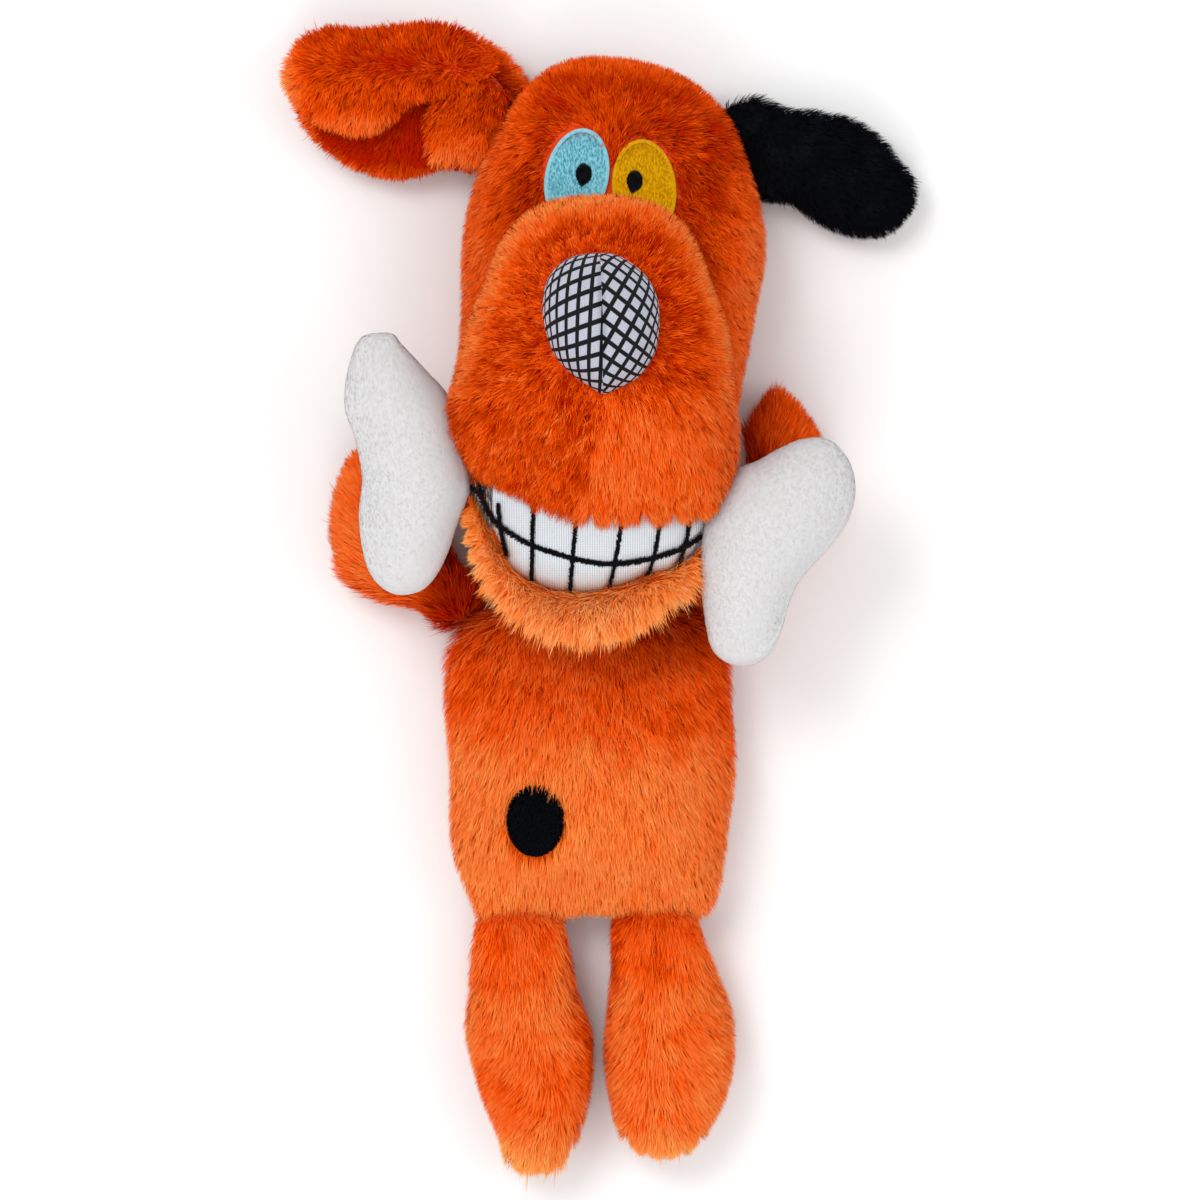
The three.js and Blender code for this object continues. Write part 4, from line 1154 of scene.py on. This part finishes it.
def lifted(form, xy, grow):
    """Points on a form's front and their normals."""
    slopes = [
        (front_height(form, xy + step, grow) - front_height(form, xy - step, grow)) / (2 * SLOPE_STEP)
        for step in ((SLOPE_STEP, 0), (0, SLOPE_STEP))
    ]
    points = np.column_stack([xy, front_height(form, xy, grow)])
    return points, unit(np.column_stack([-slopes[0], -slopes[1], np.ones(len(xy))]))


def fill_stitch(name, middle, radii, lean, grow, pitch, material, tail=0.0):
    """An oval of upright threads side by side on the head."""
    half = np.array(radii) * head["size"] / head["span"]
    across = np.arange(-half[0] + pitch / 2, half[0], pitch)
    share = across / half[0]
    reach = half[1] * np.sqrt(np.maximum(1 - share**2, 0.0))
    low = -reach - tail * np.exp(-((share + 0.35) / 0.35) ** 2)
    y = np.linspace(low, reach, 31, axis=1)
    xy = np.stack([across[:, None] + y * math.tan(-lean), y], -1)
    points, normals = lifted(head, xy.reshape(-1, 2) + place(head, middle), grow)
    shift = np.random.default_rng(FUR_SEED).random(len(y))[:, None] + y / STITCH_LENGTH
    points[:, 2] -= (np.exp(-((shift % 1 - 0.5) / 0.12) ** 2) * STITCH_DIP).ravel()
    sides = unit(np.cross([0.0, 1.0, 0.0], normals)).reshape(*y.shape, 3)
    return threads(name, points, normals, sides, pitch * THREAD_SHARE, FILL_HEIGHT, material, ends=0.6)


def border_stitch(name, middle, radii, lean, grow, material):
    """A ring of short threads across an oval's edge."""
    half = np.array(radii) * head["size"] / head["span"]
    turn = np.linspace(0, 2 * math.pi, 720, endpoint=False)
    oval = np.column_stack([np.cos(turn), np.sin(turn)]) * half
    oval = spaced(oval, int(length_of(np.vstack([oval, oval[:1]])) / THREAD_PITCH), True)
    along = unit(np.roll(oval, -1, 0) - np.roll(oval, 1, 0))
    out = np.column_stack([along[:, 1], -along[:, 0]])
    shares = np.linspace(-1, 1, 7)
    lines = oval[:, None] + out[:, None] * (shares * BORDER_REACH / 2)[None, :, None]
    lines[..., 0] += lines[..., 1] * math.tan(-lean)
    points, normals = lifted(head, lines.reshape(-1, 2) + place(head, middle), grow)
    sides = np.column_stack([along, np.zeros(len(along))])[:, None].repeat(len(shares), 1)
    return threads(name, points, normals, sides, THREAD_PITCH * THREAD_SHARE, BORDER_HEIGHT, material)


def length_of(line):
    return np.linalg.norm(np.diff(line, axis=0), axis=1).sum()


for name, eye in EYES.items():
    colour = f"{eye['colour']}_thread"
    oval = (eye["middle"], np.array(eye["radii"]) - EYE_INSET_PIXELS, eye["lean"])
    eye_patch = fill_stitch(f"{name}_patch", *oval, EYE_GROW, THREAD_PITCH, colour)
    ring = border_stitch(f"{name}_border", *oval, EYE_GROW + BORDER_LIFT, f"{eye['colour']}_border")
    pupil = fill_stitch(f"{name}_pupil", eye["pupil"], PUPIL_RADII, 0.0, EYE_GROW + PUPIL_LIFT,
                        PUPIL_PITCH, "black_thread", tail=PUPIL_TAIL)
    settle(eye_patch, "head", [f"{name}_patch"])
    settle(ring, "head")
    settle(pupil, "head", [f"{name}_pupil"])


# Grin: ribbed knit, drawn in under the stitched lines
TOOTH_ROW_PIXELS = [
    (471, 487), (481, 496), (487, 508), (494, 521), (503, 529), (532, 546), (572, 559), (610, 565),
    (648, 560), (682, 549), (706, 534),
]
TOOTH_GAP_PIXELS = [
    [(478, 474), (480, 486), (483, 497)], [(499, 505), (501, 529), (507, 556)],
    [(534, 505), (533, 546), (532, 590)], [(577, 515), (573, 559), (570, 600)],
    [(623, 515), (615, 564), (607, 598)], [(663, 505), (653, 560), (640, 590)],
    [(693, 500), (684, 549), (672, 580)],
]
JAW_FILL_GAP = 3.0
GRIN_GROW = -0.1 * MM
GRIN_EDGE = -0.2 * MM
GRIN_MARGIN = 0.1 * MM
GRIN_THICKNESS = 1.2 * MM
QUILT_WIDTH = 1.5 * MM
QUILT_DEPTH = 0.8 * MM
COLUMN_WIDTH = 0.155 * MM
RIB_HEIGHT = 0.09 * MM
ROW_LINE_WIDTH = 1.5 * MM
GAP_LINE_WIDTH = 1.2 * MM
LINE_PITCH = 0.34 * MM
LINE_LIFT = 0.2 * MM
LINE_THREAD = 0.2 * MM
LINE_HEIGHT = 0.42 * MM


def path_on_muzzle(pixel_path, count):
    """A smooth line through pixels, as points at even steps."""
    return spaced(smooth_curve(at(pixel_path), False), count, False)


tooth_row = path_on_muzzle(TOOTH_ROW_PIXELS, 240)
tooth_gaps = [path_on_muzzle(gap, 100) for gap in TOOTH_GAP_PIXELS]


def jaw_lifted(xy):
    """The grin's front with its quilted swell between the stitched lines."""
    away = np.full(len(xy), 1.0)
    for line in [tooth_row, *tooth_gaps]:
        for part in line[::3]:
            away = np.minimum(away, np.linalg.norm(xy - part, axis=1))
    points, normals = lifted(jaw, xy, GRIN_GROW)
    return points - normals * (np.exp(-((away / QUILT_WIDTH) ** 2)) * QUILT_DEPTH)[:, None], normals


def knit_panel():
    """A sheet of upright columns between the jaw's upper and lower outline, ribs in its shape."""
    loop = outline_loop(jaw, GRIN_EDGE, sides=600)
    loop = loop[np.argsort(loop[:, 0])]
    upper = loop[:, 1] > jaw["centre"][1]
    columns = np.arange(loop[0, 0] + GRIN_MARGIN, loop[-1, 0] - GRIN_MARGIN, COLUMN_WIDTH)
    top, bottom = (np.interp(columns, *loop[half].T)[:, None] for half in (upper, ~upper))
    rows = 66
    y = bottom + (top - bottom) * (1 - np.cos(np.linspace(0, math.pi, rows))) / 2
    xy = np.stack([np.broadcast_to(columns[:, None], y.shape), y], -1).reshape(-1, 2)
    points, normals = jaw_lifted(xy)
    rib = np.cos(2 * math.pi * xy[:, 0] / RIB_WIDTH) * RIB_HEIGHT
    front, back = points + normals * rib[:, None], points - (0, 0, GRIN_THICKNESS)
    grid, size = np.arange(len(points)).reshape(y.shape), len(points)
    face = np.stack([grid[:-1, :-1], grid[1:, :-1], grid[1:, 1:], grid[:-1, 1:]], -1).reshape(-1, 4)
    rim = np.concatenate([grid[0, :-1], grid[:-1, -1], grid[-1, :0:-1], grid[:0:-1, 0]])
    following = np.roll(rim, -1)
    rims = np.stack([rim, following, following + size, rim + size], -1)
    return np.vstack([front, back]), np.vstack([face, face[:, ::-1] + size, rims])


def path_ways(line):
    """The ways along a line and across it to its left."""
    along = unit(np.gradient(line, axis=0))
    return along, np.column_stack([-along[:, 1], along[:, 0]])


def satin_line(line, width, rng):
    """Short threads across a line, side by side, with uneven ends."""
    centres = spaced(line, int(length_of(line) / LINE_PITCH), False)
    along, across = path_ways(centres)
    shares = np.linspace(-1, 1, 6)
    reach = width / 2 * rng.uniform(0.82, 1.24, len(centres))
    shift = rng.normal(size=len(centres)) * 0.06 * width
    out = shares[None, :] * reach[:, None] + shift[:, None]
    slant = (along * 0.25 * width)[:, None] * shares[None, :, None] / 2
    return centres[:, None] + across[:, None] * out[..., None] + slant, along


def stitching():
    """The black lines round the teeth, as threads laid on the quilted grin."""
    rng = np.random.default_rng(FUR_SEED)
    made = [satin_line(tooth_row, ROW_LINE_WIDTH, rng)]
    made += [satin_line(gap, GAP_LINE_WIDTH, rng) for gap in tooth_gaps]
    lines, along = (np.concatenate(parts) for parts in zip(*made))
    middles = lines.mean(1)
    points, normals = jaw_lifted(middles)
    normals[:, 2] = np.maximum(normals[:, 2], 0.6)
    normals = unit(normals)
    slope = -normals[:, :2] / normals[:, 2:]
    rise = ((lines - middles[:, None]) * slope[:, None]).sum(-1)
    points = np.concatenate([lines, (points[:, 2:] + rise)[..., None]], -1) + normals[:, None] * LINE_LIFT
    sides = unit(np.column_stack([along, (along * slope).sum(1)]))
    kept = reach_at(jaw, middles) < 0.995
    sides, normals = (values[kept][:, None].repeat(lines.shape[1], 1) for values in (sides, normals))
    return threads("teeth_stitching", points[kept], normals, sides, LINE_THREAD, LINE_HEIGHT, "black_thread")


cloth_piece("teeth_panel", knit_panel(), "head", "knit")
stuffing_piece("jaw_fill", jaw, -JAW_FILL_GAP, "head")
settle(stitching(), "head", ["teeth_stitching"])

# Lower lip: a roll of paler fur round the grin
LIP_PATH_PIXELS = [
    (471, 503), (479, 529), (486, 548), (495, 566), (508, 583), (525, 598), (545, 610), (566, 616),
    (589, 617), (609, 614), (630, 605), (654, 592), (681, 576), (699, 555),
]
LIP_HALF_WIDTHS = [0.6, 1.2, 1.7, 2.1, 2.5, 3.0, 3.8, 4.5, 4.8, 4.6, 3.9, 3.0, 1.8, 0.6]
LIP_Z = 42.5 * MM
LIP_FUR_DEPTH = 3 * MM
LIP_LOCKS = 26
LIP_CENTRE = 598, 480
LIP_LONG_ROWS = 520, 600


def lip_roll():
    """A tube round the grin, thickest under its middle."""
    line = path_on_muzzle(LIP_PATH_PIXELS, 48)
    across = path_ways(line)[1]
    turn = -np.arange(20) / 20 * 2 * math.pi
    shares = np.linspace(0, 1, len(LIP_HALF_WIDTHS))
    wide = np.interp(np.linspace(0, 1, len(line)), shares, LIP_HALF_WIDTHS) * MM
    high = 1.0 * MM + 1.1 * wide
    rows = [
        np.column_stack([
            line[i] + across[i] * (np.cos(turn) * wide[i])[:, None], LIP_Z + np.sin(turn) * high[i],
        ])
        for i in range(len(line))
    ]
    return tube([*rows, [[*line[0], LIP_Z], [*line[-1], LIP_Z]]])


def round_lip(points):
    """The way from the middle of the grin to each point, and its angle."""
    away = points[:, :2] - at(LIP_CENTRE)
    return away, np.arctan2(away[:, 1], away[:, 0])


def lip_comb(points):
    way = unit(round_lip(points)[0] * (1, 1.25))
    return unit(np.column_stack([way, np.full(len(points), -0.3)]))


def lip_locks(points):
    """The lip's tips draw together into locks round the grin."""
    away, angle = round_lip(points)
    step = math.pi / LIP_LOCKS
    nearest = (np.round(angle / step - 0.5) + 0.5) * step
    turn = (nearest - angle) * np.linalg.norm(away, axis=1) * 0.7
    return np.column_stack([-np.sin(angle) * turn, np.cos(angle) * turn, np.zeros(len(points))])


def lip_tone(points):
    locks = 0.12 * np.cos(round_lip(points)[1] * LIP_LOCKS * 2)
    return 0.5 + locks + mottle(points, (0.12, 7, 21))


def clear_of_teeth(points):
    """Pile grows on the lip's top and outer side only, so that none stands in front of the teeth."""
    return (reach_at(jaw, points) > 1.03) & (points[:, 2] > LIP_Z - LIP_FUR_DEPTH)


lip_surface = lip_roll()
cloth_piece("lower_lip", lip_surface, "head", "pale_fur")
fur_piece(
    "lower_lip_fur", "head", "pale_fur", surface=lip_surface, density=16, comb=lip_comb, tone=lip_tone,
    length=lambda p: 3.4 + 6.2 * fade(pixels(p)[1], LIP_LONG_ROWS), seed=8, locks=lip_locks, streak=0.12,
    keep=clear_of_teeth, lean=(1.05, 1.42), gather=0.7, tuft=12, spread=1.4, height=3.2, wild=0.1,
)


# Bone ends: covers of short pile
BONE_PILE = 0.6
BONE_FILL_GAP = 2.6
SWELL_CELLS = 110
SWELL_STEPS = 1600


def inflated(form, grow, sides, rings):
    """A pillow whose lobes each swell by how wide they are, as stuffed cloth does."""
    points, quads, tris = pillow(form, grow, sides, rings)
    low = form["centre"] - form["size"] * 0.55
    step = form["size"].max() * 1.1 / SWELL_CELLS
    cells = np.arange(SWELL_CELLS)
    grid = low + np.stack(np.meshgrid(cells, cells, indexing="ij"), -1) * step
    inner = in_outline(grid.reshape(-1, 2), outline_loop(form, grow, 360)).reshape(grid.shape[:2])
    swell = np.zeros(inner.shape)
    for _ in range(SWELL_STEPS):
        around = sum(np.roll(swell, shift, axis) for axis in (0, 1) for shift in (1, -1))
        swell = np.where(inner, (around + 1) / 4, 0)
    lift = np.sqrt(swell / swell.max())
    place_now = (points[:, :2] - low) / step
    cell = np.clip(place_now.astype(int), 0, SWELL_CELLS - 2)
    part = np.clip(place_now - cell, 0, 1)
    height = sum(
        lift[cell[:, 0] + i, cell[:, 1] + j] * abs(1 - i - part[:, 0]) * abs(1 - j - part[:, 1])
        for i in (0, 1) for j in (0, 1)
    )
    full = form["rise"] + grow
    off_seam = points[:, 2] - form["seam"]
    edge = np.clip((1 - reach_at(form, points, grow)) / 0.12, 0, 1)
    share = height * edge + np.abs(off_seam) / full * (1 - edge)
    points[:, 2] = form["seam"] + np.sign(off_seam) * share * full
    return points, quads, tris


def in_outline(xy, loop):
    """Whether each point lies inside a closed line."""
    inside = np.zeros(len(xy), bool)
    previous = loop[-1]
    for corner in loop:
        crosses = (corner[1] > xy[:, 1]) != (previous[1] > xy[:, 1])
        rise = previous[1] - corner[1]
        where = (previous[0] - corner[0]) * (xy[:, 1] - corner[1]) / (rise if rise else 1e-12) + corner[0]
        inside ^= crosses & (xy[:, 0] < where)
        previous = corner
    return inside


for name, form in (("bone_left", bone_left), ("bone_right", bone_right)):
    cover_surface = inflated(form, -BONE_PILE * MM, sides=160, rings=32)
    cloth_piece(f"{name}_cover", cover_surface, "head", "velboa")
    fur_piece(
        f"{name}_fuzz", "head", "velboa", surface=cover_surface, density=8.0, length=1.0,
        comb=straight(0.2, -1, 0), tone=lambda p: 0.5 + mottle(p, (0.06, 12, 31)),
        keep=outside(head, muzzle), width=0.14, lean=(1.42, 1.54), tuft=5, spread=0.5, wild=0.2, seed=30,
        height=0.1, gather=0.0, streak=0.0, soft=1.0,
    )
    stuffing_piece(f"{name}_fill", form, -BONE_FILL_GAP, "head", shape=inflated)

# Limbs
JOINTS = {joint["child"]: joint for joint in frame["joints"]}
HIP_TEST_ROW, HIP_ROW, HIP_HALF_WIDTH, HIP_COLUMNS = 700, 903, 28, (519, 657)
FLAT_HIP_ROWS, LOW_HIP_ROWS, HIP_CORNER = (975, 935), (950, 920), (20, 32)
TOE_ROWS, TOE_STRAIGHT_ROWS, TOE_TONE_ROWS = (1115, 1140), (1110, 1150), (1116, 1150)
RIDGE_HALF_WIDTH, RIDGE_ROWS, TOE_HALF_WIDTH = 24, (-20, 40), 40
TOE_COLUMNS = np.array([509, 521, 534, 547, 560, 575, 624, 641, 656, 672, 688, 704])
LEG_SHADE_PATCHES = [
    (0.16, (508, 944), (40, 38)), (0.14, (516, 1082), (44, 40)), (0.17, (652, 938), (42, 38)),
    (0.06, (688, 1040), (30, 36)),
]
LEGS_X, INNER_COLUMNS, INNER_ROWS, OUTER_COLUMNS = 594, (42, 18), (1110, 1070), (490, 470)
BODY_X, BESIDE_BODY_COLUMNS = 590, (120, 60)
BONE_SHADOW_COLUMNS, BONE_SHADOW_END, RIGHT_ARM_COLUMNS = (425, 445), (480, 472), (600, 620)


def zone(body, way, before, after):
    """The joint's parent body and two points so many millimetres before and after its joint, along way."""
    pivot = np.array(JOINTS[body]["pos_m"])
    way = np.asarray(way, float) / np.linalg.norm(way)
    ends = [tuple(float(c) for c in pivot + way * reach * MM) for reach in (before, after)]
    return JOINTS[body]["parent"], *ends


def leg_comb(top, end):
    """Down from the hip, then out from a ridge given by its two ends as pixels."""
    def comb(points):
        x, y = pixels(points)
        ridge_x = top[0] + (y - top[1]) * (end[0] - top[0]) / (end[1] - top[1])
        side = np.clip((x - ridge_x) / RIDGE_HALF_WIDTH, -1, 1)
        side *= 0.12 + 0.55 * fade(y - top[1], RIDGE_ROWS)
        toe = fade(y, TOE_STRAIGHT_ROWS)
        return downwards(side * (1 - toe) + 0.15 * toe * np.clip((x - ridge_x) / TOE_HALF_WIDTH, -1, 1))

    return comb


def leg_tone(points):
    x, y = pixels(points)
    # Painted shade: darker patches where the pile lies the other way, and darker inner edges between the
    # legs, turning lighter towards the left leg's outer edge. The paler toes are partly painted light
    # through their thin tips.
    dark = np.max([depth * patch(points, *oval) for depth, *oval in LEG_SHADE_PATCHES], 0)
    inner = fade(np.abs(x - LEGS_X), INNER_COLUMNS) * fade(y, INNER_ROWS) - 0.8 * fade(x, OUTER_COLUMNS)
    toe = 0.4 * fade(y, TOE_TONE_ROWS)
    return 0.48 + toe - dark - 0.2 * inner + mottle(points, (0.07, 14, 12), (0.06, 6, 13))


def beside_hip(points):
    """How far out each point lies from the middle of the nearer leg's hip, in pixels."""
    return np.min([np.abs(pixels(points)[0] - column) for column in HIP_COLUMNS], 0)


def clear_of_hip(points):
    y = pixels(points)[1]
    hem = HIP_ROW + 1.3 * np.maximum(beside_hip(points) - HIP_HALF_WIDTH, 0)
    return (y < HIP_TEST_ROW) | (y > hem)


def hip_flatness(points):
    y = pixels(points)[1]
    return fade(y, FLAT_HIP_ROWS) * (y > HIP_TEST_ROW) * 0.9


def leg_length(points):
    y = pixels(points)[1]
    corner = fade(y, LOW_HIP_ROWS) * fade(beside_hip(points), HIP_CORNER) * (y > HIP_TEST_ROW)
    toe = fade(y, TOE_ROWS) * (6.4 + 3.6 * ripple(points * (1, 0, 0), 3, 24))
    return 7.2 - 3.8 * corner + toe


def leg_height(points):
    return 3.9 - 1.9 * fade(pixels(points)[1], LOW_HIP_ROWS)


def toe_locks(points):
    return drawn_to(points, TOE_COLUMNS, fade(pixels(points)[1], TOE_ROWS))


def arm_tone(points):
    x = pixels(points)[0]
    # Painted shade: darker beside the body and under the left bone, and over the right arm, which the light
    # reaches less.
    shade_by_body = fade(np.abs(x - BODY_X), BESIDE_BODY_COLUMNS)
    shade_by_body += fade(x, BONE_SHADOW_COLUMNS) * fade(x, BONE_SHADOW_END)
    right = 0.2 * fade(x, RIGHT_ARM_COLUMNS)
    return 0.42 - right - 0.38 * np.clip(shade_by_body, 0, 1) * (1 - right * 3) + mottle(points, (0.07, 14, 14))


LEG_LEFT_RIDGE, LEG_RIGHT_RIDGE = ((521, 1020), (562, 1110)), ((652, 985), (652, 1090))
ARM_LEFT_ROOT, ARM_RIGHT_ROOT = (470, 640), (700, 660)
LEG_BEND, ARM_BEND = ((0, -1, 0), -6, 14), (-4, 12)
LEG_LAID = {"tone": leg_tone, "length": leg_length, "height": leg_height, "locks": toe_locks, "streak": 0.07}
ARM_LAID = {"tone": arm_tone, "length": 7.6, "height": 3.7, "streak": 0.06}
LIMBS = [
    ("leg_left", leg_left, leg_comb(*LEG_LEFT_RIDGE), LEG_LAID, *LEG_BEND),
    ("leg_right", leg_right, leg_comb(*LEG_RIGHT_RIDGE), LEG_LAID, *LEG_BEND),
    ("arm_left", arm_left, away_from(ARM_LEFT_ROOT), ARM_LAID, (-1, 0.45, 0), *ARM_BEND),
    ("arm_right", arm_right, away_from(ARM_RIGHT_ROOT), ARM_LAID, (0.6, 1, 0), *ARM_BEND),
]
for number, (name, form, comb, laid, *bend) in enumerate(LIMBS):
    joint_zone = zone(name, *bend)
    surface = pillow(form, -PILE * MM, sides=90, rings=18)
    cloth_piece(f"{name}_skin", surface, name, "orange_fur", joint_zone=joint_zone)
    fur_piece(
        f"{name}_fur", name, "orange_fur", joint_zone, surface=surface, density=8.0, comb=comb,
        seed=50 + number, keep=both(outside(torso, head, grow=-6.0), clear_of_hip), flatter=hip_flatness,
        gather=0.25, wild=0.1, **laid,
    )
    stuffing_piece(f"{name}_fill", form, -PILE - FILL_GAP, name, joint_zone=joint_zone)

# Ears
CAVITY_COLUMNS_IN, CAVITY_COLUMNS_OUT = (312, 334), (436, 428)
CAVITY_ROWS_IN, CAVITY_ROWS_OUT = (70, 90), (160, 148)
BASE_ROOT_COLUMNS, FLAP_ROOT_COLUMNS = (440, 480), (425, 465)
FLAP_FRINGE_ROWS, FLAP_LEFT_COLUMNS, FLAP_LOW_ROWS = (96, 114), (312, 286), (60, 90)
CREASE_START, CREASE_SLOPE, CREASE_HALF_WIDTH = (380, 62), 0.08, 7
CREASE_COLUMNS_IN, CREASE_COLUMNS_OUT = (335, 355), (430, 410)
FLAP_FOLD_ROWS, FLAP_FAN_X, FLAP_FAN_WIDTH = (42, 88), 410, 100
FLAP_COMB_ROOT, FLAP_FLAT_COLUMNS = (440, 474), (446, 476)
BASE_COMB_START, EAR_RIGHT_COMB_START = (420, 70), (700, 60)
EAR_BEND = -2, 9
LOBE_LOW_ROWS, LOBE_DARK_COLUMNS = (115, 160), (465, 490)


def ear_base_tone(points):
    x, y = pixels(points)
    # Painted shade: darker in the hollow under the flap and towards the root by the head. The paler edge is
    # a painted rim light.
    cavity = fade(x, CAVITY_COLUMNS_IN) * fade(x, CAVITY_COLUMNS_OUT)
    cavity *= fade(y, CAVITY_ROWS_IN) * fade(y, CAVITY_ROWS_OUT)
    dark = 0.2 * cavity + 0.03 * fade(x, BASE_ROOT_COLUMNS)
    return 0.13 + 0.24 * edge_of(ear_left, points, 0.8) - dark + mottle(points, (0.04, 12, 15))


def flap_tone(points):
    x, y = pixels(points)
    # Painted shade along the crease and towards the root. Painted light: the paler edge and left end.
    fringe = 0.3 * fade(y, FLAP_FRINGE_ROWS)
    edge = 0.18 * edge_of(flap, points, 0.84)
    left = 0.5 * fade(x, FLAP_LEFT_COLUMNS) + 0.08 * fade(y, FLAP_LOW_ROWS)
    off_crease = y - CREASE_START[1] - CREASE_SLOPE * (x - CREASE_START[0])
    crease = 0.08 * np.exp(-((off_crease / CREASE_HALF_WIDTH) ** 2))
    crease *= fade(x, CREASE_COLUMNS_IN) * fade(x, CREASE_COLUMNS_OUT)
    dark = crease + 0.028 * fade(x, FLAP_ROOT_COLUMNS)
    return 0.11 + np.max([fringe, edge, left], 0) - dark + mottle(points, (0.04, 10, 18))


def lobe_tone(points):
    x, y = pixels(points)
    # Paler lower down and darker towards the head: painted light and shade.
    dark = 0.06 * fade(x, LOBE_DARK_COLUMNS)
    return 0.16 + 0.36 * fade(y, LOBE_LOW_ROWS) - dark + mottle(points, (0.05, 8, 19))


def flap_comb(points):
    """Up above the flap's crease, down below it and to the left along it."""
    x, y = pixels(points)
    share = fade(y, FLAP_FOLD_ROWS)
    fan = (x - FLAP_FAN_X) / FLAP_FAN_WIDTH
    root = fade(x, FLAP_COMB_ROOT)[:, None]
    combed = turned(math.pi * (0.5 + share) - fan * (0.7 - 1.2 * share))
    return unit(combed * (1 - root) + np.array([[0.95, 0.1, -0.2]]) * root)


def flap_height(points):
    """Pressed flat where the flap runs into the ear's root."""
    return 3.0 - 1.9 * fade(pixels(points)[0], FLAP_FLAT_COLUMNS)


EAR_LAYERS = [
    ("ear_left_base_layer", ear_left, away_from(BASE_COMB_START, -0.1), ear_base_tone, 5.4, 3.0),
    ("ear_left_folded_flap", flap, flap_comb, flap_tone, 5.2, flap_height),
    ("ear_left_lobe", lobe, straight(-0.3, -1, -0.1), lobe_tone, 6.4, 3.0),
]
ear_zone = zone("ear_left", (-0.82, 0.567, 0), *EAR_BEND)
for number, (name, form, comb, tone, length, height) in enumerate(EAR_LAYERS):
    surface = pillow(form, -EAR_PILE * MM, sides=90, rings=14)
    cloth_piece(name, surface, "ear_left", "orange_fur", joint_zone=ear_zone,
                stands_in=form is not lobe)
    fur_piece(
        f"{name}_fur", "ear_left", "orange_fur", ear_zone, surface=surface, density=9.0, length=length,
        comb=comb, tone=tone, seed=60 + number, keep=outside(head, grow=-6.0), lean=(0.6, 1.15),
        height=height, wild=0.25,
    )

ear_zone = zone("ear_right", (0.949, 0.315, 0), *EAR_BEND)
ear_surface = pillow(ear_right, -EAR_PILE * MM, sides=90, rings=14)
for side, seed in (("back", 66), ("front", 65)):
    surface = only_faces(*ear_surface, in_half(ear_right, side))
    cloth_piece(f"ear_right_{side}_layer", surface, "ear_right", "black_fur", joint_zone=ear_zone)
    fur_piece(
        f"ear_right_{side}_fur", "ear_right", "black_fur", ear_zone, surface=surface, density=9.0,
        length=4.4, comb=away_from(EAR_RIGHT_COMB_START, -0.1), tone=lambda p: 0.2 + mottle(p, (0.2, 8, 16)),
        seed=seed, width=0.24, keep=outside(head, grow=-6.0), lean=(0.7, 1.2), gather=0.3,
        height=3.0,
    )


# Squeaker: the frame's own solid, in plastic

def squeaker_plastic():
    material, tree, shader = new_material("squeaker_plastic")
    haze = noise(tree, 300, 2.0)
    tree.links.new(ramp(tree, [(0.3, (226, 228, 230)), (0.7, (236, 238, 240))], haze),
                   shader.inputs["Base Color"])
    add_bump(tree, shader, haze, 0.1, 0.3 * MM)
    set_shader(shader, Roughness=0.38)
    return material


bulb = frame["nodes"]["squeaker"]
bulb.data.materials.clear()
bulb.data.materials.append(squeaker_plastic())

# Floor, camera and lights
PIXELS = 1200
PIXEL_SIZE = 0.264 * MM
PHOTO_MIDDLE = 600, 600
CAMERA_HEIGHT = 2.6
CAMERA_AIM_HEIGHT = 0.03
SENSOR = 36
FLOOR_REACH = 6.0
WORLD_STRENGTH = 0.76
LAMPS = {
    "key": ((-0.8, 0.8, 1.7), 0.9, 14.5),
    "fill": ((1.2, 0.1, 1.3), 1.0, 4.5),
    "low": ((-0.3, -1.3, 1.1), 1.0, 8),
}

floor_material, tree, shader = new_material("floor")
set_shader(shader, Base_Color=srgb((244, 244, 244)), Roughness=0.9)
corners = np.array([(-1, -1, 0), (1, -1, 0), (1, 1, 0), (-1, 1, 0)]) * FLOOR_REACH
mesh_object("floor", corners, [(0, 1, 2, 3)], material=floor_material)

camera = add_object("camera", bpy.data.cameras.new("camera"))
camera.location = (*place(torso, PHOTO_MIDDLE), CAMERA_HEIGHT)
camera.data.sensor_width = SENSOR
camera.data.lens = SENSOR * (CAMERA_HEIGHT - CAMERA_AIM_HEIGHT) / (PIXELS * PIXEL_SIZE)
camera.data.clip_end = 50
bpy.context.scene.camera = camera

for name, (spot, size, power) in LAMPS.items():
    lamp = bpy.data.lights.new(name, "AREA")
    lamp.shape, lamp.size, lamp.energy = "SQUARE", size, power
    light = add_object(name, lamp)
    light.location = spot
    light.rotation_euler = (-Vector(spot)).to_track_quat("-Z", "Y").to_euler()
    light.visible_camera = False

world = bpy.data.worlds.new("world")
world.use_nodes = True
background = world.node_tree.nodes["Background"]
background.inputs["Color"].default_value = (1, 1, 1, 1)
background.inputs["Strength"].default_value = WORLD_STRENGTH
bpy.context.scene.world = world
bpy.context.scene.view_settings.view_transform = "Standard"
